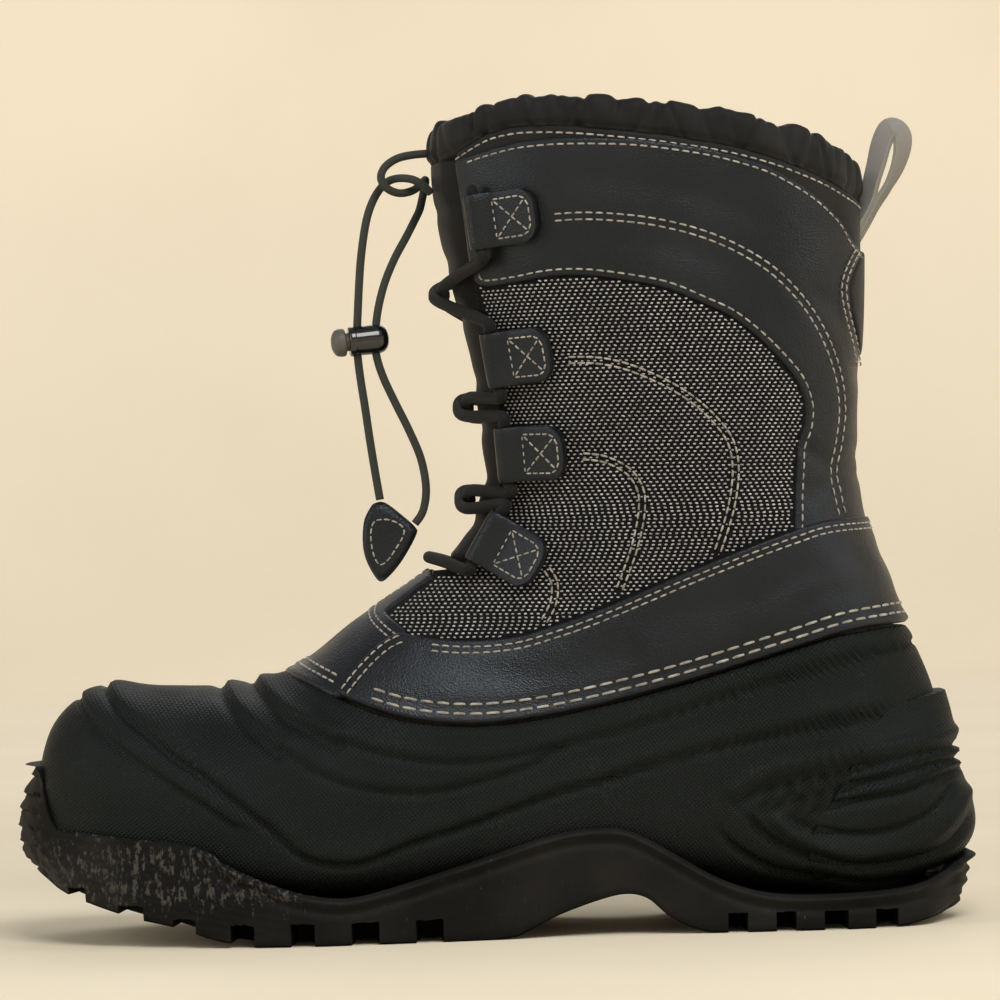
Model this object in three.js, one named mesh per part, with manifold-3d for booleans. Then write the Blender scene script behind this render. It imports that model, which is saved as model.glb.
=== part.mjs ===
// Lace-up winter boot, left foot: a rubber shell foot on a lugged outsole, a fabric and leather shaft,
// a gathered snow collar with a drawcord. Millimetres, +Z up, toe towards -X, outer side towards -Y.
import * as THREE from 'three';
import { mergeVertices } from 'three/addons/utils/BufferGeometryUtils.js';
import Module from 'manifold-3d';

const wasm = await Module();
wasm.setup();

// ---- driving dimensions ------------------------------------------------------------------------
const GAP = 0.3;             // clearance where pieces meet
const SHELL_OUT = 0.4;       // shell skin outside the last form
const SHELL_IN = -3.2;       // inside of the shell wall
const FOOT_OUT = SHELL_IN - GAP;
const FOOT_IN = -6.5;        // inside of the lining in the foot
const SHAFT_IN = -4.0;       // inside of the lining in the shaft
const MUDGUARD_SKIN = [0.3, 2.3];
const COUNTER_SKIN = [0.75, 4.6];
const COLLAR_SKIN = [-7.0, 1.2];
const TONGUE_THICK = 5.0;
const SOLE_CLEAR = 0.7;      // outsole cup round the shell
const LACE_D = 4.0;
const CORD_D = 2.7;
const WIDE = 90;             // half depth of every side-view cutter
const FAR = 175;             // past the toe and the heel
const HIGH = 320;            // above the collar
const LOW = -20;             // below the ground
const AROUND = 20;           // points round a section

// ---- the last: flat sections from toe to collar -------------------------------------------------
// front and back ends of each section in side view, half widths outer and inner, offset of its middle,
// where it is widest (0 front, 1 back), and how square it is towards the front and the back
const SECTION_COLUMNS = [
  'frontX', 'frontZ', 'backX', 'backZ', 'outer', 'inner', 'middle', 'widest', 'crown', 'base',
];
const SECTION_ROWS = [
  [-151.6, 51, -151.6, 41, 8, 8, 6, 0.5, 2, 2],
  [-149.4, 63, -149.6, 30, 20, 21, 6, 0.55, 2.3, 2.5],
  [-145.4, 72, -146, 25.5, 28, 29.5, 5.5, 0.6, 2.4, 3],
  [-138, 79, -139.5, 22.5, 34, 36, 5, 0.62, 2.4, 3],
  [-127, 83.4, -128, 19, 40, 41, 4, 0.64, 2.4, 3.4],
  [-109, 82.4, -110, 16, 45.5, 47, 2.4, 0.66, 2.3, 3.8],
  [-86, 82.6, -84, 13.5, 51, 49.5, 1, 0.68, 2.2, 4],
  [-64, 88.3, -57, 12.5, 53, 48.5, 0, 0.68, 2.1, 4],
  [-45, 102, -30, 13.5, 50.5, 43.5, 0, 0.69, 2, 4],
  [-23, 116.3, 4, 16.5, 46, 38.5, 0, 0.7, 2, 4],
  [-13, 124, 42, 18, 42.5, 36, 0, 0.7, 2, 4],
  [-7, 132, 84, 12.5, 41.5, 37.5, 0, 0.68, 2.1, 3.8],
  [-4, 139, 122, 11, 41, 38.5, 0, 0.62, 2.2, 3.2],
  [-2, 145, 152, 27, 40.5, 39, 0, 0.58, 2.2, 2.8],
  [-1, 151, 149.2, 50, 40, 39, 0, 0.55, 2.2, 2.5],
  [-1.5, 158, 145.2, 75, 40, 39.5, 0, 0.54, 2.2, 2.3],
  [-2.2, 166, 137.5, 95, 40.5, 40, 0, 0.53, 2.2, 2.2],
  [-3.2, 176, 130.2, 113, 41.5, 41, 0, 0.53, 2.2, 2.15],
  [-4.5, 188, 122.8, 136, 43, 42.5, 0, 0.52, 2.2, 2.1],
  [-8, 203, 121.6, 165, 45.5, 45, 0, 0.52, 2.2, 2.1],
  [-12.5, 222, 124.2, 198, 48.5, 48, 0, 0.52, 2.2, 2.1],
  [-15.6, 241, 125.2, 228, 50.5, 50, 0, 0.52, 2.2, 2.1],
  [-16.2, 256, 125, 252, 51.5, 51, 0, 0.52, 2.2, 2.1],
  [-15.5, 292, 124, 292, 52, 51.5, 0, 0.52, 2.2, 2.1],
];
const LAST_SECTION = SECTION_ROWS.length - 1;

function sectionAt(place) {
  const first = Math.min(Math.floor(place), LAST_SECTION - 1);
  const t = place - first;
  const row = (k) => SECTION_ROWS[Math.max(0, Math.min(LAST_SECTION, k))];
  const section = {};
  SECTION_COLUMNS.forEach((name, c) => {
    const [a, b, d, e] = [row(first - 1)[c], row(first)[c], row(first + 1)[c], row(first + 2)[c]];
    section[name] = b + 0.5 * t * (d - a + t * (2 * a - 5 * b + 4 * d - e + t * (3 * (b - d) + e - a)));
  });
  return section;
}

// point of the last: place along the sections, turn 0 at the front, PI at the back, outer side first
function lastPoint(place, turn) {
  const s = sectionAt(place);
  const side = Math.sin(turn) >= 0 ? -1 : 1;
  const c = Math.cos(turn);
  const power = 2 / (c >= 0 ? s.crown : s.base);
  const reach = Math.abs(c) ** power;
  const along = c >= 0 ? s.widest * (1 - reach) : s.widest + (1 - s.widest) * reach;
  const width = Math.abs(Math.sin(turn)) ** power * (side < 0 ? s.outer : s.inner);
  return new THREE.Vector3(
    s.frontX + along * (s.backX - s.frontX),
    s.middle + side * width,
    s.frontZ + along * (s.backZ - s.frontZ),
  );
}

function lastNormal(place, turn) {
  const d = 0.02;
  const low = Math.max(0, place - d);
  const high = Math.min(LAST_SECTION, place + d);
  const along = lastPoint(high, turn).sub(lastPoint(low, turn));
  const round = lastPoint(place, turn + d).sub(lastPoint(place, turn - d));
  return round.cross(along).normalize();
}

// closed solid at a distance from the last; the distance may depend on the point
function lastForm(distance) {
  const rings = LAST_SECTION + 1;
  const points = [];
  for (let k = 0; k < rings; k += 1) {
    for (let j = 0; j < AROUND; j += 1) {
      const turn = (2 * Math.PI * j) / AROUND;
      const p = lastPoint(k, turn);
      const d = typeof distance === 'function' ? distance(p) : distance;
      points.push(p.addScaledVector(lastNormal(k, turn), d));
    }
  }
  const faces = [];
  for (let k = 0; k < rings - 1; k += 1) {
    for (let j = 0; j < AROUND; j += 1) {
      const a = k * AROUND + j;
      const b = k * AROUND + ((j + 1) % AROUND);
      faces.push(a, b, a + AROUND, b, b + AROUND, a + AROUND);
    }
  }
  [0, rings - 1].forEach((k) => {
    const centre = new THREE.Vector3();
    for (let j = 0; j < AROUND; j += 1) centre.addScaledVector(points[k * AROUND + j], 1 / AROUND);
    const tip = points.push(centre) - 1;
    for (let j = 0; j < AROUND; j += 1) {
      const a = k * AROUND + j;
      const b = k * AROUND + ((j + 1) % AROUND);
      faces.push(...(k === 0 ? [b, a, tip] : [a, b, tip]));
    }
  });
  const geometry = new THREE.BufferGeometry().setFromPoints(points);
  geometry.setIndex(faces);
  return solid(geometry);
}

// where a side-view place lies on the last: on the outer (side -1) or inner (side 1) face
function onLast(x, z, side, distance = 0) {
  let low = 0;
  let high = LAST_SECTION;
  const past = (place) => {
    const s = sectionAt(place);
    return (s.backX - s.frontX) * (z - s.frontZ) - (s.backZ - s.frontZ) * (x - s.frontX) > 0;
  };
  for (let k = 0; k < 40; k += 1) {
    const mid = (low + high) / 2;
    if (past(mid)) low = mid;
    else high = mid;
  }
  const s = sectionAt(low);
  const length = Math.hypot(s.backX - s.frontX, s.backZ - s.frontZ);
  const along = ((x - s.frontX) * (s.backX - s.frontX) + (z - s.frontZ) * (s.backZ - s.frontZ)) / length ** 2;
  const front = along < s.widest;
  const reach = front ? 1 - along / s.widest : (along - s.widest) / (1 - s.widest);
  const power = front ? s.crown : s.base;
  const c = THREE.MathUtils.clamp(reach, 0, 1) ** (power / 2);
  const turn = -side * Math.acos(front ? c : -c);
  const normal = lastNormal(low, turn);
  return { point: lastPoint(low, turn).addScaledVector(normal, distance), normal };
}

// ---- solids ------------------------------------------------------------------------------------
function solid(geometry) {
  const bare = geometry.clone();
  bare.deleteAttribute('normal');
  bare.deleteAttribute('uv');
  const merged = mergeVertices(bare, 1e-3);
  return new wasm.Manifold(new wasm.Mesh({
    numProp: 3,
    vertProperties: new Float32Array(merged.attributes.position.array),
    triVerts: new Uint32Array(merged.index.array),
  }));
}

// straight outline, or with a smooth run through the points named by the first and last index
function outline(points, curved = [], steps = 3) {
  if (!curved.length) return points.map(([a, b]) => new THREE.Vector2(a, b));
  const [from, to] = curved;
  const run = new THREE.SplineCurve(points.slice(from, to + 1).map(([a, b]) => new THREE.Vector2(a, b)));
  return [
    ...points.slice(0, from).map(([a, b]) => new THREE.Vector2(a, b)),
    ...run.getPoints((to - from) * steps),
    ...points.slice(to + 1).map(([a, b]) => new THREE.Vector2(a, b)),
  ];
}

// prism with a side-view outline, right through the boot
function sideCut(points) {
  const geometry = new THREE.ExtrudeGeometry(new THREE.Shape(points), {
    depth: 2 * WIDE, bevelEnabled: false, steps: 1,
  });
  geometry.translate(0, 0, -WIDE).rotateX(Math.PI / 2);
  return solid(geometry);
}

// prism with a plan outline
function planCut(points, bottom, top) {
  const geometry = new THREE.ExtrudeGeometry(new THREE.Shape(points), {
    depth: top - bottom, bevelEnabled: false, steps: 1,
  });
  geometry.translate(0, 0, bottom);
  return solid(geometry);
}

function block(width, depth, height, x, y, z) {
  return solid(new THREE.BoxGeometry(width, depth, height).translate(x, y, z));
}

// the largest body of a cut solid, without the slivers that a cut leaves
function mainBody(body) {
  return body.decompose().sort((a, b) => b.volume() - a.volume())[0];
}

function smooth(edge0, edge1, value) {
  return THREE.MathUtils.smoothstep(value, edge0, edge1);
}

// ---- seam lines in side view ---------------------------------------------------------------------
const SHELL_TOP = [
  [-70, 97], [-66, 87.5], [-58, 83], [-50, 79], [-40, 74.8], [-30, 71.8], [-19, 70], [-7, 69.2],
  [5, 69.7], [20, 71.6], [40, 75.6], [65, 81.8], [97, 91], [113, 95.4], [128, 97.3], [150, 97.6],
];
const MUDGUARD_TOP = [
  [-30, 98.3], [-20, 96.8], [-10, 95.8], [1, 96], [13, 98], [36, 105.5], [60, 115.4], [82, 123.8],
  [98, 129.2], [110, 132.2], [128, 133], [150, 133],
];
const COLLAR_SEAM = [
  [-30, 250], [-18, 251.5], [-8, 254.4], [2, 259.5], [10, 261.2], [18, 261.4], [30, 260.6], [45, 258.8],
  [60, 256.7], [78, 253.6], [93, 249.8], [104, 246], [112, 242.8], [120, 238.8], [135, 231],
];
const COLLAR_RIM = [
  [-30, 263.5], [-15, 266], [-4, 268.7], [4, 271], [16, 272.2], [26, 272.6], [40, 270.8], [59, 269.3],
  [75, 266.6], [89, 264], [101, 261], [109, 259.4], [117, 255.7], [123, 251.8], [135, 244],
];
const THROAT = [
  [-19.5, 118.8], [-12, 120.2], [-5, 124.5], [1, 131], [3.4, 139], [3.4, 150], [4, 168], [3, 176],
  [-1, 200], [-3, 210], [-4, 219], [-6, 238], [-8, 256],
];
const BEAD = [
  [-146, 38], [-120, 35.3], [-97, 32.6], [-88, 27], [-80, 23], [-70, 19], [-60, 16.2], [-49, 15.1],
  [-38, 17], [-22, 21.4], [-6, 26], [10, 31], [22, 33.9], [32, 34.9], [41, 34.2], [50, 30], [60, 24],
  [70, 18.2], [80, 14.2], [91, 11.9], [106, 11.4], [127, 12.2], [138, 13.8],
  [148, 17.6], [162, 24.4],
];

const shift = (points, dz) => points.map(([x, z]) => [x, z + dz]);
const under = (points, dz) => outline(
  [...shift(points, dz), [FAR, LOW], [-FAR, LOW], [-FAR, points[0][1] + dz]], [0, points.length - 1], 1,
);
const over = (points, dz) => outline(
  [...shift(points, dz), [FAR, points[points.length - 1][1] + dz], [FAR, HIGH], [-FAR, HIGH],
    [-FAR, points[0][1] + dz]],
  [0, points.length - 1], 1,
);
const underShellTop = (dz) => sideCut(under([...SHELL_TOP, [FAR, 97.6]], dz));
const heightOn = (points, x) => {
  const k = Math.max(1, points.findIndex(([px]) => px > x));
  const [[x0, z0], [x1, z1]] = [points[k - 1], points[k]];
  return THREE.MathUtils.lerp(z0, z1, THREE.MathUtils.clamp((x - x0) / (x1 - x0), 0, 1));
};

// ---- outsole -------------------------------------------------------------------------------------
// plan outline: distance along the boot, outer edge, inner edge
const SOLE_PLAN = [
  [-157.5, -6, 18], [-151.5, -19, 31], [-142, -29, 40], [-128, -39.5, 47.5], [-110, -47.5, 53],
  [-87, -54.5, 55], [-60, -57, 52.5], [-30, -54, 46], [0, -49, 41.5], [30, -45.5, 39], [60, -44.5, 40],
  [90, -45, 42], [118, -43.5, 41.5], [138, -35.5, 34.5], [151, -21, 20.5], [156.6, -6, 6],
];
const SOLE_BOTTOM = [
  [-153.9, 23.6], [-143.5, 18], [-133, 14], [-118, 9.4], [-104, 6.4], [-92, 2.6], [-80, 0.4], [-74, 0],
];
const SOLE_ARCH = [
  [0, 0], [9.5, 2.6], [19, 7], [32, 11.4], [41, 13.2], [48, 11.6], [55, 5.6], [63, 1.6], [71, 0],
];
const SOLE_HEEL = [[126, 0], [138, 1.6], [152.5, 4.7], [156, 14.5], [157.6, 21], [162, 22.5]];
const SOLE_HALF_LENGTH = 158;
const TOE_BUMPER = [[-146, 58], [-152.5, 58], [-156.4, 51], [-159.2, 42], [-159, 30], [-153.9, 23.6]];

function soleOutline(inset) {
  const edge = (row, sign) => {
    const [x, outer, inner] = row;
    const half = Math.max(2, (inner - outer) / 2 - inset);
    return new THREE.Vector2(x * (1 - inset / SOLE_HALF_LENGTH), (inner + outer) / 2 + sign * half);
  };
  const ring = [
    ...SOLE_PLAN.map((row) => edge(row, -1)),
    ...SOLE_PLAN.map((row) => edge(row, 1)).reverse(),
  ];
  return new THREE.SplineCurve([...ring, ring[0]]).getPoints(ring.length * 2).slice(0, -1);
}

function soleSide() {
  const bottom = new THREE.SplineCurve(SOLE_BOTTOM.map(([x, z]) => new THREE.Vector2(x, z)));
  const arch = new THREE.SplineCurve(SOLE_ARCH.map(([x, z]) => new THREE.Vector2(x, z)));
  const bead = new THREE.SplineCurve(BEAD.map(([x, z]) => new THREE.Vector2(x, z)));
  return [
    ...bottom.getPoints(12),
    ...arch.getPoints(14),
    ...SOLE_HEEL.map(([x, z]) => new THREE.Vector2(x, z)),
    new THREE.Vector2(162, 24.4),
    ...bead.getPoints(30).reverse().slice(1),
    ...TOE_BUMPER.slice(0, -1).map(([x, z]) => new THREE.Vector2(x, z)),
  ];
}

// tread grooves: position along the boot, width, depth, and height of the ground there
const GROOVES = [
  [-132, 6, 5, 13.6], [-112, 7, 5, 8], [-93, 7, 6, 2.8], [-74, 7, 7, 0], [-54, 7, 7, 0], [-34, 7, 7, 0],
  [-14, 7, 7, 0], [84, 6, 6, 0], [100, 6, 6, 0], [116, 6, 6, 0], [132, 6, 5, 0.8],
];
const GROOVE_REACH = 22;      // half width of the tread between the grooves
const GROOVE_LENGTH = 60;
const GROOVE_SKEW = 0.16;     // radians towards the toe at the middle
const BUMPER_PLAN = { x: -146, y: 6, length: 13.2, width: 25 };
const SOLE_TOP = 70;          // above the toe bumper

function makeOutsole(form) {
  const { x: noseX, y: noseY, length, width } = BUMPER_PLAN;
  const nose = new THREE.Shape().absellipse(noseX, noseY, length, width, 0, 2 * Math.PI);
  const plan = planCut(soleOutline(0), LOW, SOLE_TOP).add(planCut(nose.getPoints(10), LOW, SOLE_TOP));
  let sole = sideCut(soleSide()).intersect(plan).subtract(form);
  GROOVES.forEach(([x, width, depth, ground]) => {
    [-1, 1].forEach((side) => {
      const cut = solid(new THREE.BoxGeometry(width, GROOVE_LENGTH, 2 * depth)
        .translate(0, side * (GROOVE_LENGTH / 2 + GROOVE_REACH), 0)
        .rotateZ(side * GROOVE_SKEW)
        .translate(x, 0, ground));
      sole = sole.subtract(cut);
    });
  });
  return sole;
}

// ---- foot and shaft ----------------------------------------------------------------------------
function makeHeelCounter() {
  const edge = [
    [104, 17], [101, 24], [104, 34], [112, 46], [119, 58], [126, 68], [132, 72], [151, 75.8],
    [FAR, 76], [FAR, 17],
  ];
  const skin = lastForm(COUNTER_SKIN[1]).subtract(lastForm(COUNTER_SKIN[0]));
  const above = shift(BEAD, GAP).filter(([x]) => x > 68);
  const clear = sideCut(outline([...above, [FAR, 25], [FAR, 100], [60, 100]], [0, above.length - 1], 2));
  return skin.intersect(sideCut(outline(edge, [0, 7], 2))).intersect(clear);
}

function makeShell() {
  return lastForm(SHELL_OUT).subtract(lastForm(SHELL_IN)).intersect(underShellTop(-GAP));
}

function liningDistance(p) {
  const above = p.z - heightOn(SHELL_TOP, p.x);
  return THREE.MathUtils.lerp(FOOT_IN, SHAFT_IN, smooth(0, 22, above));
}

const FOOTBED_PLAN = 13;      // how far the opening under the foot lies inside the outsole's outline
const FOOTBED_TOP = 23;
const throatCut = (grow) => sideCut(outline(
  [[-90, 118.8 - grow], ...THROAT.map(([x, z]) => [x + grow, z - grow]), [-8 + grow, HIGH], [-90, HIGH]],
  [1, THROAT.length], 1,
));

function makeUpper() {
  const skin = lastForm(0).subtract(underShellTop(0)).add(lastForm(FOOT_OUT));
  return skin
    .subtract(lastForm(liningDistance))
    .subtract(planCut(soleOutline(FOOTBED_PLAN), LOW, FOOTBED_TOP + 1))
    .subtract(throatCut(0))
    .subtract(sideCut(over(COLLAR_SEAM, -GAP)));
}

function makeMudguard() {
  const skin = lastForm(MUDGUARD_SKIN[1]).subtract(lastForm(MUDGUARD_SKIN[0]));
  const region = outline(
    [[-50, 79.6], ...MUDGUARD_TOP, [FAR, 133], [FAR, 97.9], ...shift(SHELL_TOP, 0.1).slice(4).reverse()],
  );
  return skin.intersect(sideCut(region));
}

const TONGUE_HALF = 31;
function makeTongue() {
  const edge = THROAT.map(([x, z]) => [z, x]);
  const inside = (p) => -TONGUE_THICK + (SHAFT_IN - GAP) * smooth(-5, 1, p.x - heightOn(edge, p.z));
  const skin = lastForm(-0.1).subtract(lastForm(inside));
  const quarters = lastForm(4).subtract(lastForm(SHAFT_IN - GAP)).subtract(throatCut(-GAP));
  const region = sideCut(outline(
    [[-60, 122.5], [-8, 122.5], [4, 132], [14, 150], [18, 190], [16, 225], [10, 247], [-6, 250.5],
      [-60, 247]],
  ));
  return skin.subtract(quarters)
    .intersect(region)
    .intersect(block(120, 2 * TONGUE_HALF, HIGH, 0, 0, HIGH / 2));
}

function makeCollar() {
  const bulge = (p) => {
    const t = smooth(0, 1, (p.z - heightOn(COLLAR_SEAM, p.x)) / 14);
    return COLLAR_SKIN[1] - 2.2 * smooth(0.55, 1, t);
  };
  const skin = lastForm(bulge).subtract(lastForm(COLLAR_SKIN[0]));
  return skin
    .subtract(sideCut(under(COLLAR_SEAM, 0)))
    .subtract(sideCut(over(COLLAR_RIM, 0)));
}

function makeInsole() {
  const top = [
    [-FAR, 33], [-140, 30], [-110, 26], [-80, 24], [-40, 24], [0, 27], [40, 30], [90, 31], [FAR, 31],
  ];
  const below = sideCut(outline([...top, [FAR, LOW], [-FAR, LOW]], [0, top.length - 1], 2));
  const pad = lastForm(FOOT_IN - GAP).intersect(below);
  const plug = lastForm(FOOT_OUT - 0.1).intersect(planCut(soleOutline(FOOTBED_PLAN + GAP), LOW, FOOTBED_TOP));
  return pad.add(plug);
}

// ---- lace loops and lace -------------------------------------------------------------------------
// middle of each loop in side view, how far the throat edge leans there, and its clearance
const LACE_LOOPS = [
  { x: 8.5, z: 233, lean: -5, lift: 0.35 }, { x: 12.8, z: 188.4, lean: -3, lift: 0.35 },
  { x: 16.2, z: 156.8, lean: 1, lift: 0.4 }, { x: 8.2, z: 123.8, lean: 32, lift: 1.3 },
];
const LOOP = { length: 25, height: 18, thick: 6.4, tail: 2.4, tunnel: 4.7, eye: 6 };

function loopFrame(loop, side) {
  const { point, normal } = onLast(loop.x, loop.z, side, loop.lift);
  const lean = THREE.MathUtils.degToRad(loop.lean);
  const rise = new THREE.Vector3(Math.sin(lean), 0, Math.cos(lean));
  rise.addScaledVector(normal, -rise.dot(normal)).normalize();
  const forward = new THREE.Vector3().crossVectors(rise, normal).multiplyScalar(side).normalize();
  return { point, normal, rise, forward };
}

// strap folded round the lace: a flat tail with a tunnel in its front fold
function makeLoop(loop, side) {
  const { point, normal, rise, forward } = loopFrame(loop, side);
  const nose = LOOP.length / 2;
  const shape = new THREE.Shape([
    [-nose, 0], [nose - 2, 0], [nose, 2], [nose, LOOP.thick - 2], [nose - 2, LOOP.thick],
    [nose - 2 - LOOP.eye, LOOP.thick], [nose - 6 - LOOP.eye, LOOP.tail], [-nose, LOOP.tail],
  ].map(([a, b]) => new THREE.Vector2(a, b)));
  const hole = new THREE.Path();
  const middle = nose - 1 - LOOP.tunnel / 2;
  hole.absarc(middle, LOOP.thick / 2, LOOP.tunnel / 2, 0, 2 * Math.PI, true);
  shape.holes.push(hole);
  const geometry = new THREE.ExtrudeGeometry(shape, {
    depth: LOOP.height, bevelEnabled: false, curveSegments: 5,
  });
  geometry.translate(0, 0, -LOOP.height / 2);
  const depth = new THREE.Vector3().crossVectors(forward, normal);
  const place = new THREE.Matrix4().makeBasis(forward, normal, depth).setPosition(point);
  geometry.applyMatrix4(place);
  return solid(geometry);
}

// mouth of a loop's tunnel, above (end 1) or below (end -1), some way out of it and lifted off the boot
function tunnelMouth(loop, side, end, out, lift = 0) {
  const { point, normal, rise, forward } = loopFrame(loop, side);
  return point.clone()
    .addScaledVector(forward, LOOP.length / 2 - 1 - LOOP.tunnel / 2)
    .addScaledVector(normal, LOOP.thick / 2 + lift)
    .addScaledVector(rise, end * (LOOP.height / 2 + out));
}

function rod(points, diameter, steps, sides = 8) {
  const section = new THREE.Shape();
  section.absarc(0, 0, diameter / 2, 0, 2 * Math.PI, false);
  return solid(new THREE.ExtrudeGeometry(section, {
    extrudePath: new THREE.CatmullRomCurve3(points), steps, curveSegments: sides / 2, bevelEnabled: false,
  }));
}

// height and clearance of each crossing's middle in front of the tongue
const CROSSINGS = [{ z: 210, x: -14.4 }, { z: 172.5, x: -7.4 }, { z: 142, x: -7.6 }];

function makeCrossing(upper, lower, cross) {
  const strand = (side) => rod([
    tunnelMouth(lower, side, 1, 0.4),
    tunnelMouth(lower, side, 1, 3.6, 0.5),
    new THREE.Vector3(cross.x + 1.4, side * 10, cross.z - 3),
    new THREE.Vector3(cross.x, 0, cross.z),
    new THREE.Vector3(cross.x + 1.4, -side * 10, cross.z + 3),
    tunnelMouth(upper, -side, -1, 3.6, 0.5),
    tunnelMouth(upper, -side, -1, 0.4),
  ], LACE_D, 9);
  return strand(-1).add(strand(1));
}

function makeBottomBar(loop) {
  return rod([
    tunnelMouth(loop, -1, -1, 0.4),
    tunnelMouth(loop, -1, -1, 3.2, 0.8),
    new THREE.Vector3(-15, -13, 121.6),
    new THREE.Vector3(-20.4, 0, 123.2),
    new THREE.Vector3(-15, 13, 121.6),
    tunnelMouth(loop, 1, -1, 3.2, 0.8),
    tunnelMouth(loop, 1, -1, 0.4),
  ], LACE_D, 10);
}

// ---- drawcord, cord lock, pull tab and pull loop ---------------------------------------------------
// routes chosen by hand: out of the collar, through the lock, into the tab
const CORD_LONG = [
  [-16.6, -8, 243.6], [-19,  -9.6, 246], [-22.5, -9.9, 248], [-27.2, -8.2, 248.6], [-31, -5.4, 247.6],
  [-34, -4.6, 244.6], [-36.2, -5.6, 240.6], [-37.9, -7, 235.6], [-39.2, -8.4, 229], [-40.3, -9.4, 221],
  [-41, -10, 213], [-41.5, -10.2, 206], [-41.9, -10.2, 200], [-42.1, -10.2, 195], [-42, -10.1, 190],
  [-41.2, -9.9, 182], [-40, -9.6, 173], [-38.8, -9.3, 163], [-37.3, -9.1, 152], [-35.9, -9, 142.6],
];
const CORD_SHORT = [
  [-17.5, -4.4, 256.8], [-22.5, -5.4, 256.4], [-27.4, -7.2, 255.2], [-31.4, -9, 252.4], [-32.8, -10, 248.8],
  [-31, -9.8, 245.4], [-27, -8.2, 243.7], [-22.6, -5.2, 244.6], [-19.6, -1.6, 247], [-18.4, 3, 248.6],
  [-18.6, 7.6, 247.2], [-19.6, 9.6, 243], [-20.6, 7.8, 239], [-22.4, 3.4, 235], [-25.2, -1.4, 229.4],
  [-28.9, -5.6, 222.6], [-32.2, -8.4, 215], [-34.4, -9.8, 207.6], [-35.6, -10.2, 201], [-36, -10.2, 195],
  [-35.7, -10.1, 189.6], [-33.6, -9.8, 182.6], [-29.8, -9.4, 174], [-25.6, -9.2, 165], [-22, -9, 155.6],
  [-20.6, -9, 146], [-21.8, -9, 138.6], [-24.6, -9, 134.4],
];
const LOCK = { x: -39, y: -10.2, z: 195.4, radius: 5, front: -5.9, back: 7.6, tilt: 5, turn: 8 };
const CORD_HOLES = [-3.1, 3.1];
const CORD_HOLE = CORD_D / 2 + 0.85;

function lockPlace(geometry) {
  return geometry
    .rotateZ(THREE.MathUtils.degToRad(LOCK.turn))
    .rotateY(THREE.MathUtils.degToRad(-LOCK.tilt))
    .translate(LOCK.x, LOCK.y, LOCK.z);
}

function lathe(profile) {
  const turned = new THREE.LatheGeometry(profile.map(([r, a]) => new THREE.Vector2(r, a)), 12);
  return turned.rotateZ(-Math.PI / 2);
}

function makeLockBody() {
  const { radius: r, front, back } = LOCK;
  const profile = [
    [0, front], [r - 0.6, front], [r, front + 0.6], [r, back - 4], [r * 0.87, back - 2],
    [r * 0.5, back - 0.55], [0, back],
  ];
  let body = solid(lockPlace(lathe(profile)));
  CORD_HOLES.forEach((along) => {
    const hole = new THREE.CylinderGeometry(CORD_HOLE, CORD_HOLE, 4 * r, 8).rotateX(Math.PI / 2);
    body = body.subtract(solid(lockPlace(hole.translate(along, 0, 0))));
  });
  return body;
}

function makeLockPlunger() {
  const { radius: r, front } = LOCK;
  const end = front - GAP;
  const profile = [
    [0, end - 5.4], [r * 0.5, end - 5.1], [r * 0.86, end - 4], [r * 0.92, end - 2.8], [r * 0.9, end - 0.9],
    [r * 0.62, end - 0.7], [r * 0.62, end], [0, end],
  ];
  return solid(lockPlace(lathe(profile)));
}

const TAB = { y: -9, thick: 3.6, bevel: 0.5 };
function makePullTab() {
  const shape = new THREE.Shape();
  shape.moveTo(-37.6, 141.6);
  shape.lineTo(-34.2, 141.6);
  shape.lineTo(-24.6, 133.6);
  shape.quadraticCurveTo(-23.2, 132.2, -24.4, 130.6);
  shape.quadraticCurveTo(-28.6, 122.4, -33.6, 117.4);
  shape.quadraticCurveTo(-36.4, 115, -38.2, 117.6);
  shape.quadraticCurveTo(-41.6, 123, -42.2, 129);
  shape.quadraticCurveTo(-42.2, 136, -37.6, 141.6);
  const geometry = new THREE.ExtrudeGeometry(shape, {
    depth: TAB.thick - 2 * TAB.bevel,
    bevelThickness: TAB.bevel,
    bevelSize: TAB.bevel,
    bevelOffset: -TAB.bevel,
    bevelSegments: 1,
    curveSegments: 4,
  });
  geometry.translate(0, 0, TAB.bevel - TAB.thick / 2).rotateX(Math.PI / 2).translate(0, TAB.y, 0);
  return solid(geometry);
}

const PULL_LOOP = { width: 12, thick: 1.6, steps: 16 };
function makePullLoop() {
  const route = [
    [128.4, 238.6], [129.8, 244], [131.6, 250], [133.6, 257], [136.4, 261.8], [139.6, 260.6], [140.4, 256],
    [138.6, 249], [135, 242], [131, 236], [128.2, 230.5],
  ].map(([x, z]) => new THREE.Vector3(x, 0, z));
  const path = new THREE.CatmullRomCurve3(route);
  // the frame's first direction is the strap's width or its thickness, whichever lies along Y
  const { normals } = path.computeFrenetFrames(PULL_LOOP.steps);
  const acrossFirst = Math.abs(normals[0].y) > 0.5;
  const half = [PULL_LOOP.width / 2, PULL_LOOP.thick / 2];
  const [a, b] = acrossFirst ? half : half.reverse();
  const section = new THREE.Shape(
    [[-a, -b], [a, -b], [a, b], [-a, b]].map(([x, y]) => new THREE.Vector2(x, y)),
  );
  return solid(new THREE.ExtrudeGeometry(section, {
    extrudePath: path, steps: PULL_LOOP.steps, bevelEnabled: false,
  }));
}

// ---- the boot ------------------------------------------------------------------------------------
const boot = new THREE.Group();

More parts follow.
